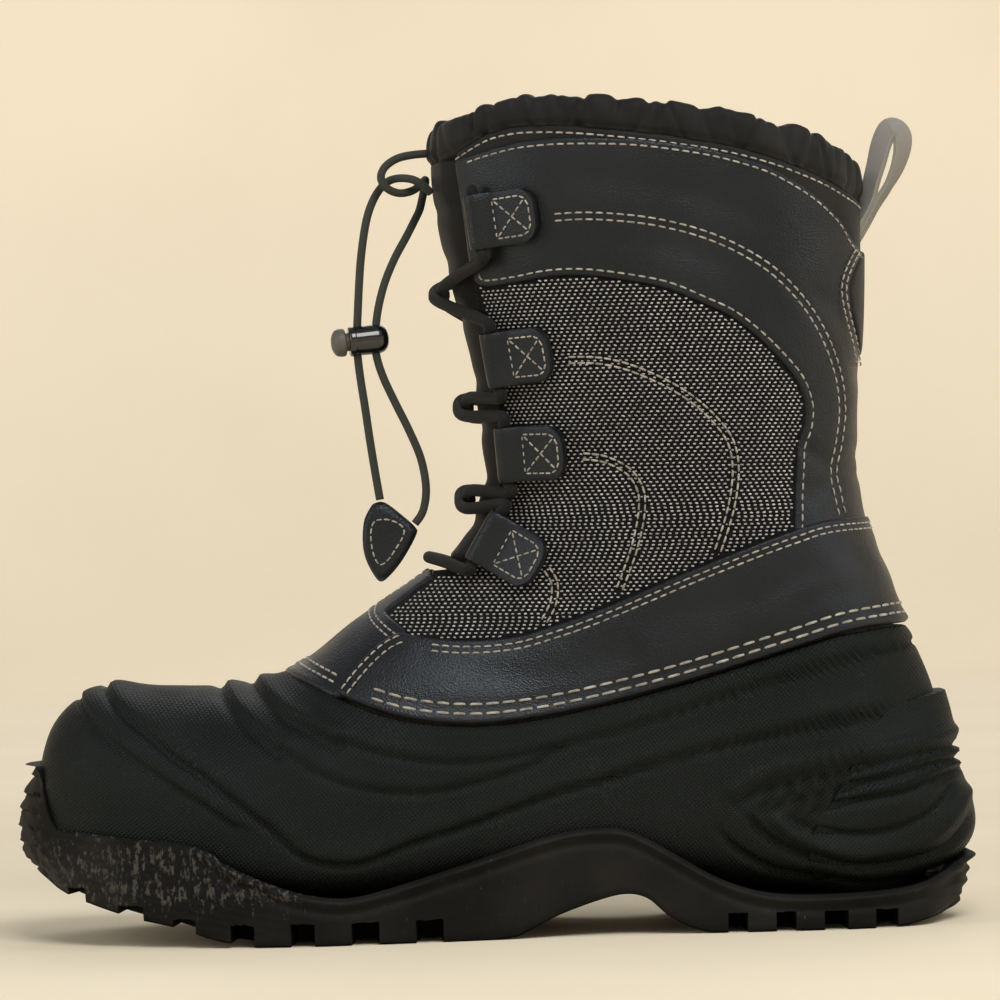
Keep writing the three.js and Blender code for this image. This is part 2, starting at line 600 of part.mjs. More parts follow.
function addPiece(name, body, colour, roughness, metalness = 0) {
  const { numProp, vertProperties, triVerts } = mainBody(body).getMesh();
  const places = [];
  for (let k = 0; k < vertProperties.length; k += numProp) places.push(...vertProperties.slice(k, k + 3));
  const geometry = new THREE.BufferGeometry();
  geometry.setAttribute('position', new THREE.Float32BufferAttribute(places, 3));
  geometry.setIndex(Array.from(triVerts));
  geometry.computeVertexNormals();
  const material = new THREE.MeshStandardMaterial({ color: colour, roughness, metalness });
  const mesh = new THREE.Mesh(geometry, material);
  mesh.name = name;
  boot.add(mesh);
}

const RUBBER = '#1d1f20';
const LEATHER = '#17181b';
const FABRIC = '#4a4844';
const NYLON = '#222326';
const CORD = '#474b47';

addPiece('outsole', makeOutsole(lastForm(SOLE_CLEAR)), RUBBER, 0.75);
addPiece('rubber_shell', makeShell(), RUBBER, 0.6);
addPiece('heel_counter', makeHeelCounter(), RUBBER, 0.65);
addPiece('upper', makeUpper(), FABRIC, 0.9);
addPiece('mudguard', makeMudguard(), LEATHER, 0.45);
addPiece('tongue', makeTongue(), NYLON, 0.85);
addPiece('collar', makeCollar(), NYLON, 0.7);
addPiece('insole', makeInsole(), '#6b655c', 0.95);
[['lateral', -1], ['medial', 1]].forEach(([name, side]) => {
  LACE_LOOPS.forEach((loop, k) => {
    addPiece(`lace_loop_${name}_${k + 1}`, makeLoop(loop, side), LEATHER, 0.45);
  });
});
CROSSINGS.forEach((cross, k) => {
  addPiece(`lace_crossing_${k + 1}`, makeCrossing(LACE_LOOPS[k], LACE_LOOPS[k + 1], cross), '#202124', 0.8);
});
addPiece('lace_bar', makeBottomBar(LACE_LOOPS[3]), '#202124', 0.8);
const cordPath = (route) => route.map(([x, y, z]) => new THREE.Vector3(x, y, z));
addPiece('drawcord_long', rod(cordPath(CORD_LONG), CORD_D, 20), CORD, 0.8);
addPiece('drawcord_short', rod(cordPath(CORD_SHORT), CORD_D, 30), CORD, 0.8);
addPiece('cord_lock_body', makeLockBody(), '#101113', 0.25);
addPiece('cord_lock_plunger', makeLockPlunger(), '#5b5751', 0.6);
addPiece('pull_tab', makePullTab(), LEATHER, 0.5);
addPiece('pull_loop', makePullLoop(), '#8d867b', 0.9);

export default boot;
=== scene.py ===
import math
import bpy
import numpy as np
from mathutils import Matrix, Vector


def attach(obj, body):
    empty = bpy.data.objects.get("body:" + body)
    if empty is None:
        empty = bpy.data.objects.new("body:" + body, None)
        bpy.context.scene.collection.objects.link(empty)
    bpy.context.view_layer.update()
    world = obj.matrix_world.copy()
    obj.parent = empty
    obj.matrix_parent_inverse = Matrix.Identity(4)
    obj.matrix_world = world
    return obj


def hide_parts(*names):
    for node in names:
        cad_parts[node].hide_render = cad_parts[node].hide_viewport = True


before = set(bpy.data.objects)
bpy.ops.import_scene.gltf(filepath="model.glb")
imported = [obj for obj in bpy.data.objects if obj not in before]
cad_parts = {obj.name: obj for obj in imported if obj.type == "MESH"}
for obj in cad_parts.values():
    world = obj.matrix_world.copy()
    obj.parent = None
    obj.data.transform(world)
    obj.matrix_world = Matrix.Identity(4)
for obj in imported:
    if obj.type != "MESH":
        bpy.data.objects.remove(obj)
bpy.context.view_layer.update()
MM = 0.001
rng = np.random.default_rng(11)

# ---------------------------------------------------------------------------------------------
# The last: flat sections from toe to collar, as in the part. Millimetres until a mesh is made.
# front x, z; back x, z; outer and inner half width; middle; widest; crown; base
# ---------------------------------------------------------------------------------------------
SECTIONS = np.array([
    [-151.6, 51, -151.6, 41, 8, 8, 6, 0.5, 2, 2],
    [-149.4, 63, -149.6, 30, 20, 21, 6, 0.55, 2.3, 2.5],
    [-145.4, 72, -146, 25.5, 28, 29.5, 5.5, 0.6, 2.4, 3],
    [-138, 79, -139.5, 22.5, 34, 36, 5, 0.62, 2.4, 3],
    [-127, 83.4, -128, 19, 40, 41, 4, 0.64, 2.4, 3.4],
    [-109, 82.4, -110, 16, 45.5, 47, 2.4, 0.66, 2.3, 3.8],
    [-86, 82.6, -84, 13.5, 51, 49.5, 1, 0.68, 2.2, 4],
    [-64, 88.3, -57, 12.5, 53, 48.5, 0, 0.68, 2.1, 4],
    [-45, 102, -30, 13.5, 50.5, 43.5, 0, 0.69, 2, 4],
    [-23, 116.3, 4, 16.5, 46, 38.5, 0, 0.7, 2, 4],
    [-13, 124, 42, 18, 42.5, 36, 0, 0.7, 2, 4],
    [-7, 132, 84, 12.5, 41.5, 37.5, 0, 0.68, 2.1, 3.8],
    [-4, 139, 122, 11, 41, 38.5, 0, 0.62, 2.2, 3.2],
    [-2, 145, 152, 27, 40.5, 39, 0, 0.58, 2.2, 2.8],
    [-1, 151, 149.2, 50, 40, 39, 0, 0.55, 2.2, 2.5],
    [-1.5, 158, 145.2, 75, 40, 39.5, 0, 0.54, 2.2, 2.3],
    [-2.2, 166, 137.5, 95, 40.5, 40, 0, 0.53, 2.2, 2.2],
    [-3.2, 176, 130.2, 113, 41.5, 41, 0, 0.53, 2.2, 2.15],
    [-4.5, 188, 122.8, 136, 43, 42.5, 0, 0.52, 2.2, 2.1],
    [-8, 203, 121.6, 165, 45.5, 45, 0, 0.52, 2.2, 2.1],
    [-12.5, 222, 124.2, 198, 48.5, 48, 0, 0.52, 2.2, 2.1],
    [-15.6, 241, 125.2, 228, 50.5, 50, 0, 0.52, 2.2, 2.1],
    [-16.2, 256, 125, 252, 51.5, 51, 0, 0.52, 2.2, 2.1],
    [-15.5, 292, 124, 292, 52, 51.5, 0, 0.52, 2.2, 2.1],
], dtype=float)
LAST_SECTION = len(SECTIONS) - 1


def between(a, b, c, d, t):
    """A smooth curve from b to c, at t from 0 to 1, with a before it and d after it."""
    return b + 0.5 * t * (c - a + t * (2 * a - 5 * b + 4 * c - d + t * (3 * (b - c) + d - a)))


def section_at(place):
    """All ten columns at fractional places along the sections."""
    place = np.clip(np.asarray(place, float), 0, LAST_SECTION)
    first = np.minimum(np.floor(place).astype(int), LAST_SECTION - 1)
    t = (place - first)[..., None]
    return between(*(SECTIONS[np.clip(first + k, 0, LAST_SECTION)] for k in (-1, 0, 1, 2)), t)


def last_point(place, turn):
    s = section_at(place)
    c, n = np.cos(turn), np.sin(turn)
    front = c >= 0
    power = 2 / np.where(front, s[..., 8], s[..., 9])
    reach = np.abs(c) ** power
    widest = s[..., 7]
    along = np.where(front, widest * (1 - reach), widest + (1 - widest) * reach)
    side = np.where(n >= 0, -1.0, 1.0)
    width = np.abs(n) ** power * np.where(side < 0, s[..., 4], s[..., 5])
    return np.stack([
        s[..., 0] + along * (s[..., 2] - s[..., 0]),
        s[..., 6] + side * width,
        s[..., 1] + along * (s[..., 3] - s[..., 1]),
    ], axis=-1)


def unit(v):
    return v / np.maximum(np.linalg.norm(v, axis=-1, keepdims=True), 1e-9)


def last_normal(place, turn):
    d = 0.03
    along = last_point(np.minimum(place + d, LAST_SECTION), turn) - last_point(np.maximum(place - d, 0), turn)
    round_ = last_point(place, turn + d) - last_point(place, turn - d)
    return unit(np.cross(round_, along))


def on_last(x, z, side):
    """Place and turn of side-view points on the outer (-1) or inner (1) face."""
    x, z = np.broadcast_arrays(np.asarray(x, float), np.asarray(z, float))
    low, high = np.zeros(x.shape), np.full(x.shape, float(LAST_SECTION))
    for _ in range(26):
        mid = (low + high) / 2
        s = section_at(mid)
        past = (s[..., 2] - s[..., 0]) * (z - s[..., 1]) - (s[..., 3] - s[..., 1]) * (x - s[..., 0]) > 0
        low, high = np.where(past, mid, low), np.where(past, high, mid)
    s = section_at(low)
    run_x, run_z = s[..., 2] - s[..., 0], s[..., 3] - s[..., 1]
    along = ((x - s[..., 0]) * run_x + (z - s[..., 1]) * run_z) / (run_x ** 2 + run_z ** 2)
    front = along < s[..., 7]
    reach = np.where(front, 1 - along / s[..., 7], (along - s[..., 7]) / (1 - s[..., 7]))
    power = np.where(front, s[..., 8], s[..., 9])
    c = np.clip(reach, 0, 1) ** (power / 2)
    return low, -side * np.arccos(np.where(front, c, -c))


def surface(x, z, side, off=0.0):
    place, turn = on_last(x, z, side)
    normal = last_normal(place, turn)
    return last_point(place, turn) + normal * np.asarray(off)[..., None], normal


# ---------------------------------------------------------------------------------------------
# Curves and distances in side view
# ---------------------------------------------------------------------------------------------
def smooth_line(points, steps=6, closed=False):
    p = np.array(points, float)
    n = len(p)
    out = []
    for k in range(n if closed else n - 1):
        pick = [p[(k + j) % n] if closed else p[min(max(k + j, 0), n - 1)] for j in (-1, 0, 1, 2)]
        out += [between(*pick, t) for t in np.arange(steps) / steps]
    if not closed:
        out.append(p[-1])
    return np.array(out)


def travelled(path):
    """Length from the start of a path to each of its points."""
    return np.concatenate([[0], np.cumsum(np.linalg.norm(np.diff(path, axis=0), axis=1))])


def resample(at, travel, rows):
    return np.column_stack([np.interp(at, travel, column) for column in rows.T])


def even(path, pitch):
    path = np.asarray(path, float)
    travel = travelled(path)
    return resample(np.linspace(0, travel[-1], max(2, int(round(travel[-1] / pitch)) + 1)), travel, path)


def line_distance(points, line):
    best = np.full(points.shape[:-1], 1e9)
    for a, b in zip(line[:-1], line[1:]):
        ab = b - a
        t = np.clip(((points - a) @ ab) / max(ab @ ab, 1e-12), 0, 1)
        best = np.minimum(best, np.hypot(*(points - a - t[..., None] * ab).T).T)
    return best


def inside(points, ring):
    x, z = points[..., 0], points[..., 1]
    hit = np.zeros(x.shape, bool)
    for (ax, az), (bx, bz) in zip(ring, np.roll(ring, -1, axis=0)):
        cross = (az > z) != (bz > z)
        at = ax + (z - az) * (bx - ax) / (bz - az if bz != az else 1e-12)
        hit ^= cross & (x < at)
    return hit


def ring_distance(points, ring):
    """Distance to a closed outline, negative inside."""
    d = line_distance(points, np.vstack([ring, ring[:1]]))
    return np.where(inside(points, ring), -d, d)


def height_on(line, x):
    return np.interp(x, np.array(line)[:, 0], np.array(line)[:, 1])


def step(a, b, x):
    t = np.clip((x - a) / (b - a), 0, 1)
    return t * t * (3 - 2 * t)


SHELL_TOP = [(-70, 97), (-66, 87.5), (-58, 83), (-50, 79), (-40, 74.8), (-30, 71.8), (-19, 70), (-7, 69.2),
             (5, 69.7), (20, 71.6), (40, 75.6), (65, 81.8), (97, 91), (113, 95.4), (128, 97.3), (150, 97.6)]
MUDGUARD_TOP = [(-30, 98.3), (-20, 96.8), (-10, 95.8), (1, 96), (13, 98), (36, 105.5), (60, 115.4),
                (82, 123.8), (98, 129.2), (110, 132.2), (128, 133), (150, 133)]
COLLAR_SEAM = [(-30, 250), (-18, 251.5), (-8, 254.4), (2, 259.5), (10, 261.2), (18, 261.4), (30, 260.6),
               (45, 258.8), (60, 256.7), (78, 253.6), (93, 249.8), (104, 246), (112, 242.8), (120, 238.8),
               (135, 231)]
COLLAR_RIM = [(-30, 263.5), (-15, 266), (-4, 268.7), (4, 271), (16, 272.2), (26, 272.6), (40, 270.8),
              (59, 269.3), (75, 266.6), (89, 264), (101, 261), (109, 259.4), (117, 255.7), (123, 251.8),
              (135, 244)]
LEATHER_TOP = [(-30, 246), (-12, 249.5), (-3.6, 251.5), (5, 253.6), (13, 255), (24, 255.6), (36, 255.3),
               (50, 254.4), (62, 252.7), (74, 250.5), (85, 247.6), (92.5, 245), (100, 241.2), (107, 236.8),
               (112, 232.7), (116.5, 228), (121, 221), (135, 208)]
THROAT = [(-19.5, 118.8), (-12, 120.2), (-5, 124.5), (1, 131), (3.4, 139), (3.4, 150), (4, 168), (3, 176),
          (-1, 200), (-3, 210), (-4, 219), (-6, 238), (-8, 256)]
# Double seam that bounds the woven side panel, and the panel's tip over the vamp
FABRIC_BACK = [(-1.1, 219.4), (-0.5, 216), (1.2, 213.4), (10, 213.8), (21.5, 215.4), (33, 215.3), (47, 213.2),
               (60, 210.2), (71, 205.4), (80.7, 200.6), (89.6, 193.5), (97, 185.9), (102.6, 178.8),
               (105.5, 170.4), (105.1, 163), (103.2, 156.5), (102.1, 149), (101.5, 140), (101, 128)]
FABRIC_TIP = [(-30, 98.4), (-33.6, 101.2), (-36.6, 104.4), (-35.8, 106.8), (-31.4, 110), (-27, 113.2),
              (-19.2, 118.4)]
VAMP_EDGE = [(-66, 87.8), (-58, 84.4), (-50.2, 81), (-46, 86), (-40.5, 91.6), (-35, 96), (-30, 98.4)]
LEATHER_MID = [(23.4, 233.3), (34, 233.4), (47, 232.2), (58, 230.3), (70, 227), (81, 222.4), (91.7, 216),
               (99, 209.6), (105.5, 202), (110.6, 193.4), (114.2, 184.6), (116.3, 176), (116.8, 167),
               (115.8, 159.6), (114.5, 152), (114.1, 144.8), (115, 137.6), (116, 133.6)]
QUILT = [
    [(26.8, 187.2), (36, 186.8), (44, 185.1), (51.6, 182.2), (60, 178), (68, 172.6), (75, 165.8),
     (79.4, 159.4), (81.1, 152), (80.7, 143.6), (78.6, 134), (74.6, 122.6)],
    [(30.8, 156), (37.6, 155), (43.6, 152.3), (47.9, 148.6), (50.4, 143.2), (50.6, 137.6), (49.4, 130.4),
     (46.9, 121.8), (42.6, 111)],
    [(19, 119.4), (21.4, 115.2), (21.8, 111), (20.6, 106), (17.8, 101)],
]


def raised(points, dz):
    return [(x, z + dz) for x, z in points]


# ---------------------------------------------------------------------------------------------
# Meshes
# ---------------------------------------------------------------------------------------------
def make_object(name, points, faces, material, uv=None):
    mesh = bpy.data.meshes.new(name)
    mesh.from_pydata((np.asarray(points) * MM).tolist(), [], [list(map(int, f)) for f in faces])
    mesh.update()
    mesh.polygons.foreach_set("use_smooth", [True] * len(mesh.polygons))
    if uv is not None:
        layer = mesh.uv_layers.new(name="UVMap")
        loops = np.empty(len(mesh.loops), int)
        mesh.loops.foreach_get("vertex_index", loops)
        layer.data.foreach_set("uv", np.asarray(uv, float)[loops].ravel())
    mesh.materials.append(material)
    obj = bpy.data.objects.new(name, mesh)
    bpy.context.collection.objects.link(obj)
    return obj


def quads(rows, cols, wrap_rows=False, wrap_cols=False):
    """Faces of a grid of points, row after row."""
    i = np.arange(rows if wrap_rows else rows - 1)
    j = np.arange(cols if wrap_cols else cols - 1)
    i, j = (a.ravel() for a in np.meshgrid(i, j, indexing="ij"))
    down, right = (i + 1) % rows, (j + 1) % cols
    return np.column_stack([i * cols + j, i * cols + right, down * cols + right, down * cols + j]).tolist()


def row_caps(rows, cols):
    """Faces that close the first and the last row of a grid."""
    return [list(range(cols))[::-1], list(range((rows - 1) * cols, rows * cols))]


def column_caps(rows, cols):
    """Faces that close the first and the last column of a grid."""
    return [[k * cols for k in range(rows)][::-1], [k * cols + cols - 1 for k in range(rows)]]


def split_at(points, tris, value, level):
    """Cut triangles along value = level, keeping both sides. points holds place, turn and more."""
    v = value - level
    v = np.where(np.abs(v) < 1e-6, 1e-6, v)
    sign = v[tris] > 0
    mixed = sign.any(1) & ~sign.all(1)
    keep = [tris[~mixed]]
    points, value = list(points), list(value)
    made = {}

    def cut(i, j):
        key = (min(i, j), max(i, j))
        if key not in made:
            a, b = key
            t = v[a] / (v[a] - v[b])
            points.append(points[a] + t * (points[b] - points[a]))
            value.append(level)
            made[key] = len(points) - 1
        return made[key]

    extra = []
    for tri in tris[mixed]:
        a, b, c = (int(k) for k in tri)
        while (v[a] > 0) == (v[b] > 0) or (v[a] > 0) == (v[c] > 0):
            a, b, c = b, c, a
        ab, ac = cut(a, b), cut(a, c)
        extra += [(a, ab, ac), (ab, b, c), (ab, c, ac)]
    if extra:
        keep.append(np.array(extra))
    return np.array(points), np.vstack(keep), np.array(value)


WHOLE_TURN = 2 * math.pi
GIRTH = 360
WELD = 1e-3


def patch(region, pitch=1.5, places=(0, LAST_SECTION), turns=(0, WHOLE_TURN), levels=(-1.1, -0.45)):
    """Triangles of the last where region(xz, points) is below 0.

    Returns rows of place and turn, triangles, and each row's distance from the edge.
    """
    lo, hi = places
    probe = np.linspace(lo, hi, 400)
    longest = np.zeros(400)
    for turn in (0.0, 1.5, 3.1, 4.7):
        p = last_point(probe, np.full(400, turn))
        longest[1:] = np.maximum(longest[1:], np.linalg.norm(np.diff(p, axis=0), axis=1))
    travel = np.cumsum(longest)
    count = max(8, int(travel[-1] / pitch))
    rows = np.interp(np.linspace(0, travel[-1], count), travel, probe)
    around = max(24, int(GIRTH * (turns[1] - turns[0]) / WHOLE_TURN / pitch))
    whole = turns[1] - turns[0] > 6.28
    cols = np.linspace(turns[0], turns[1], around + (0 if whole else 1), endpoint=not whole)
    # even spacing by length round a typical section
    t = np.linspace(turns[0], turns[1], 600)
    mid = last_point(np.full(600, (lo + hi) / 2), t)
    arc = travelled(mid)
    cols = np.interp((cols - turns[0]) / (turns[1] - turns[0]) * arc[-1], arc, t)
    grid = np.stack(np.meshgrid(rows, cols, indexing="ij"), -1)
    flat = grid.reshape(-1, 2)
    n_row, n_col = len(rows), len(cols)
    i, j = np.meshgrid(np.arange(n_row - 1), np.arange(n_col if whole else n_col - 1), indexing="ij")
    a = (i * n_col + j).ravel()
    b = (i * n_col + (j + 1) % n_col).ravel()
    c, d = a + n_col, b + n_col
    tris = np.vstack([np.column_stack([a, b, c]), np.column_stack([b, d, c])])
    # the seam of a whole turn needs its own column, so turn never jumps back
    if whole:
        wrap = flat[::n_col].copy()
        wrap[:, 1] = turns[1]
        base = len(flat)
        flat = np.vstack([flat, wrap])
        last = (tris % n_col == 0)
        at_end = ((tris % n_col) == n_col - 1).any(1)
        fix = last & at_end[:, None]
        tris = np.where(fix, base + tris // n_col, tris)
    p = last_point(flat[:, 0], flat[:, 1])
    g = region(p[:, [0, 2]], p)
    for level in (*levels, 0.0):
        flat, tris, g = split_at(flat, tris, g, level)
    kept = tris[(g[tris] <= 1e-6).all(1)]
    used, inverse = np.unique(kept, return_inverse=True)
    return flat[used], inverse.reshape(-1, 3), g[used]


def shell_solid(flat, tris, top, bottom):
    """Closed sheet between two offsets of the last."""
    normal = last_normal(flat[:, 0], flat[:, 1])
    base = last_point(flat[:, 0], flat[:, 1])
    high = base + normal * np.asarray(top)[:, None]
    low = base + normal * np.asarray(bottom)[:, None]
    # join the two sides of the wrap seam
    key = np.round(base / WELD).astype(np.int64)
    _, first, same = np.unique(key, axis=0, return_index=True, return_inverse=True)
    tris = same.ravel()[tris]
    good = (tris[:, 0] != tris[:, 1]) & (tris[:, 1] != tris[:, 2]) & (tris[:, 2] != tris[:, 0])
    tris, high, low = tris[good], high[first], low[first]
    n = len(high)
    edges = np.vstack([tris[:, [0, 1]], tris[:, [1, 2]], tris[:, [2, 0]]])
    code = edges[:, 0] * n + edges[:, 1]
    back = edges[:, 1] * n + edges[:, 0]
    rim = edges[~np.isin(code, back)]
    # triangles wind so that the normal points out
    p0, p1, p2 = high[tris[:, 0]], high[tris[:, 1]], high[tris[:, 2]]
    face = np.cross(p1 - p0, p2 - p0)
    flip = (face * normal[first][tris[:, 0]]).sum(1).sum() < 0
    if flip:
        tris, rim = tris[:, ::-1], rim[:, ::-1]
    walls = np.vstack([
        np.column_stack([rim[:, 1], rim[:, 0], rim[:, 0] + n]),
        np.column_stack([rim[:, 1], rim[:, 0] + n, rim[:, 1] + n]),
    ])
    return np.vstack([high, low]), np.vstack([tris, tris[:, ::-1] + n, walls])


def panel(name, region, material, top, bottom, slot, edge=1.1, relief=None, **grid):
    """A closed sheet on the last with a rounded edge; top, bottom and relief may be functions of place."""
    flat, tris, g = patch(region, **grid)
    t = np.clip(1 + g / edge, 0, 1)
    rounding = np.sqrt(np.clip(1 - t * t, 0, 1))
    p = last_point(flat[:, 0], flat[:, 1])
    xz = p[:, [0, 2]]
    top = top(xz, p) if callable(top) else np.full(len(flat), float(top))
    low = bottom(xz, p) if callable(bottom) else np.full(len(flat), float(bottom))
    height = low + 0.15 + (top - low - 0.15) * rounding
    if relief is not None:
        height = height + relief(xz, p) * rounding
    points, faces = shell_solid(flat, tris, height, low)
    obj = make_object(name, points, faces, material)
    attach(obj, "root")
    return obj


def bell(distance, width):
    """1 at no distance, falling away over a width."""
    return np.exp(-((distance / width) ** 2))


def trough(xz, line, depth, width):
    return -depth * bell(line_distance(xz, smooth_line(line, 4)), width)


def troughs(xz, table, total=0.0):
    """Adds a trough for each row of line, depth and width."""
    for line, depth, width in table:
        total = total + trough(xz, line, depth, width)
    return total


# ---------------------------------------------------------------------------------------------
# Materials
# ---------------------------------------------------------------------------------------------
class Nodes:
    """A short way to write a material: each method adds a node and returns its output."""

    def __init__(self, name, base, rough, **values):
        self.mat = bpy.data.materials.new(name)
        self.mat.use_nodes = True
        self.tree = self.mat.node_tree
        self.shader = self.tree.nodes["Principled BSDF"]
        self.set("Base Color", base)
        self.set("Roughness", rough)
        for key, value in values.items():
            self.set(key.replace("_", " "), value)
        self.coord = self.tree.nodes.new("ShaderNodeTexCoord").outputs["Object"]

    def set(self, socket, value):
        target = self.shader.inputs[socket]
        if isinstance(value, bpy.types.NodeSocket):
            self.tree.links.new(value, target)
        elif isinstance(value, (tuple, list)):
            target.default_value = (*value, 1.0) if len(value) == 3 else value
        else:
            target.default_value = value

    def add(self, kind, inputs=None, **props):
        node = self.tree.nodes.new(kind)
        for key, value in props.items():
            setattr(node, key, value)
        for key, value in (inputs or {}).items():
            if isinstance(value, bpy.types.NodeSocket):
                self.tree.links.new(value, node.inputs[key])
            else:
                node.inputs[key].default_value = value
        return node

    def stretch(self, scale, rotation=(0, 0, 0), source=None):
        return self.add("ShaderNodeMapping", {
            "Vector": source or self.coord, "Scale": scale, "Rotation": rotation,
        }).outputs[0]

    def noise(self, scale, detail=3.0, source=None, roughness=0.5):
        return self.add("ShaderNodeTexNoise", {
            "Vector": source or self.coord, "Scale": scale, "Detail": detail, "Roughness": roughness,
        }).outputs["Fac"]

    def cells(self, scale, source=None):
        return self.add("ShaderNodeTexVoronoi", {
            "Vector": source or self.coord, "Scale": scale,
        }).outputs["Distance"]

    def bands(self, scale, source=None, distortion=0.0, direction="X"):
        return self.add("ShaderNodeTexWave", {
            "Vector": source or self.coord, "Scale": scale, "Distortion": distortion,
        }, bands_direction=direction).outputs["Fac"]

    def ramp(self, value, low, high, a=0.0, b=1.0):
        return self.add("ShaderNodeMapRange", {
            "Value": value, "From Min": low, "From Max": high, "To Min": a, "To Max": b,
        }, clamp=True).outputs["Result"]

    def math(self, kind, a, b=0.0):
        return self.add("ShaderNodeMath", {0: a, 1: b}, operation=kind).outputs[0]

    def mix(self, factor, a, b):
        node = self.add("ShaderNodeMix", data_type="RGBA")
        for k, value in ((0, factor), (6, a), (7, b)):
            if isinstance(value, bpy.types.NodeSocket):
                self.tree.links.new(value, node.inputs[k])
            elif isinstance(value, (tuple, list)):
                node.inputs[k].default_value = (*value, 1.0)
            else:
                node.inputs[k].default_value = value
        return node.outputs[2]

    def bump(self, height, distance, strength=1.0, over=None):
        inputs = {"Height": height, "Distance": distance * MM, "Strength": strength}
        if over is not None:
            inputs["Normal"] = over
        return self.add("ShaderNodeBump", inputs).outputs[0]

    def plait(self, along, across, angle):
        """Two sets of bands that cross, laid out by the piece's own UV map."""
        uv = self.add("ShaderNodeUVMap").outputs[0]
        one, two = (self.bands(1.0, self.stretch((along, across, 1), (0, 0, math.radians(a)), uv))
                    for a in (angle, -angle))
        return self.math("MAXIMUM", one, two)

    def mottle(self, scale, detail, low, high, dark, light):
        """A colour that drifts between two tones."""
        return self.mix(self.ramp(self.noise(scale, detail), low, high), dark, light)

    def uneven(self, scale, detail, low, high, smooth, rough):
        """Roughness that drifts between two values."""
        self.set("Roughness", self.ramp(self.noise(scale, detail), low, high, smooth, rough))

    def parts(self):
        """x, y, z of a point, in millimetres."""
        split = self.add("ShaderNodeSeparateXYZ", {0: self.coord}).outputs
        return [self.math("MULTIPLY", s, 1000.0) for s in split]


def leather():
    n = Nodes("black_leather", (0.006, 0.0065, 0.008), 0.42,
              Specular_IOR_Level=0.34, Specular_Tint=(0.8, 0.9, 1.0))
    grain = n.cells(1500, n.stretch((1, 1, 1.15)))
    pores = n.noise(2600, 2)
    folds = n.noise(120, 3)
    n.set("Base Color", n.mottle(28, 4, 0.35, 0.7, (0.0035, 0.0038, 0.005), (0.009, 0.0095, 0.012)))
    n.uneven(60, 4, 0.3, 0.7, 0.32, 0.46)
    first = n.bump(grain, 0.16, 0.8)
    second = n.bump(pores, 0.06, 0.6, first)
    n.set("Normal", n.bump(folds, 0.5, 0.35, second))
    return n.mat


def shell_rubber():
    n = Nodes("shell_rubber", (0.005, 0.006, 0.006), 0.5,
              Specular_IOR_Level=0.15, Specular_Tint=(0.8, 0.95, 0.95))
    hatch, cross = (n.bands(300, n.stretch((1, 0.25, 1), (0, math.radians(a), 0))) for a in (38, -52))
    weave = n.math("MULTIPLY", hatch, cross)
    dust = n.ramp(n.noise(45, 5, roughness=0.65), 0.5, 0.78)
    fine = n.ramp(n.noise(900, 3), 0.5, 0.8)
    veil = n.math("MULTIPLY", dust, fine)
    clean = n.mottle(14, 3, 0.35, 0.65, (0.003, 0.004, 0.004), (0.007, 0.008, 0.008))
    n.set("Base Color", n.mix(veil, clean, (0.03, 0.03, 0.028)))
    n.uneven(30, 4, 0.3, 0.7, 0.46, 0.62)
    n.set("Normal", n.bump(n.noise(1200, 2), 0.04, 0.5, n.bump(weave, 0.2, 0.9)))
    return n.mat


def sole_rubber():
    n = Nodes("sole_rubber", (0.008, 0.008, 0.009), 0.72, Specular_IOR_Level=0.12)
    x, _, z = n.parts()
    chips = n.noise(420, 4, n.stretch((1.4, 1.4, 0.62), (0, 0.35, 0)), 0.75)
    low = n.ramp(z, 42, 30)
    ahead = n.ramp(x, -50, -68)
    film = n.math("MULTIPLY", n.math("MULTIPLY", low, ahead), n.ramp(z, 8, 16))
    some = n.ramp(film, 0, 1, 0.66, 0.52)
    scuff = n.ramp(n.math("SUBTRACT", chips, some), 0.0, 0.07)
    clean = n.mottle(30, 4, 0.4, 0.7, (0.004, 0.0042, 0.0044), (0.013, 0.0125, 0.012))
    n.set("Base Color", n.mix(scuff, clean, (0.06, 0.057, 0.052)))
    n.set("Roughness", n.ramp(scuff, 0, 1, 0.62, 0.9))
    n.set("Normal", n.bump(n.noise(700, 4), 0.22, 0.7, n.bump(n.noise(90, 3), 0.5, 0.4)))
    return n.mat


def fabric_ground():
    n = Nodes("weave_ground", (0.004, 0.004, 0.005), 0.95, Specular_IOR_Level=0.2)
    n.set("Base Color", n.mottle(800, 3, 0.4, 0.7, (0.002, 0.002, 0.003), (0.009, 0.009, 0.01)))
    n.set("Normal", n.bump(n.bands(480, None, 1.0, "Z"), 0.25, 0.8))
    return n.mat


def yarn():
    n = Nodes("woven_yarn", (0.3, 0.28, 0.25), 0.85, Sheen_Weight=0.25, Sheen_Roughness=0.5)
    pale = n.mottle(60, 3, 0.3, 0.7, (0.4, 0.4, 0.41), (0.62, 0.62, 0.63))
    n.set("Base Color", n.mottle(420, 4, 0.3, 0.7, (0.2, 0.2, 0.205), pale))
    n.set("Normal", n.bump(n.noise(2500, 3, n.stretch((0.3, 1, 1))), 0.12, 0.8))
    return n.mat


def thread():
    n = Nodes("seam_thread", (0.4, 0.38, 0.35), 0.7, Sheen_Weight=0.2)
    n.set("Base Color", n.mottle(300, 4, 0.35, 0.7, (0.2, 0.185, 0.165), (0.46, 0.43, 0.38)))
    n.set("Normal", n.bump(n.bands(900, n.stretch((1, 1, 1), (0.4, 0.6, 0.2)), 1.0), 0.08, 0.7))
    return n.mat


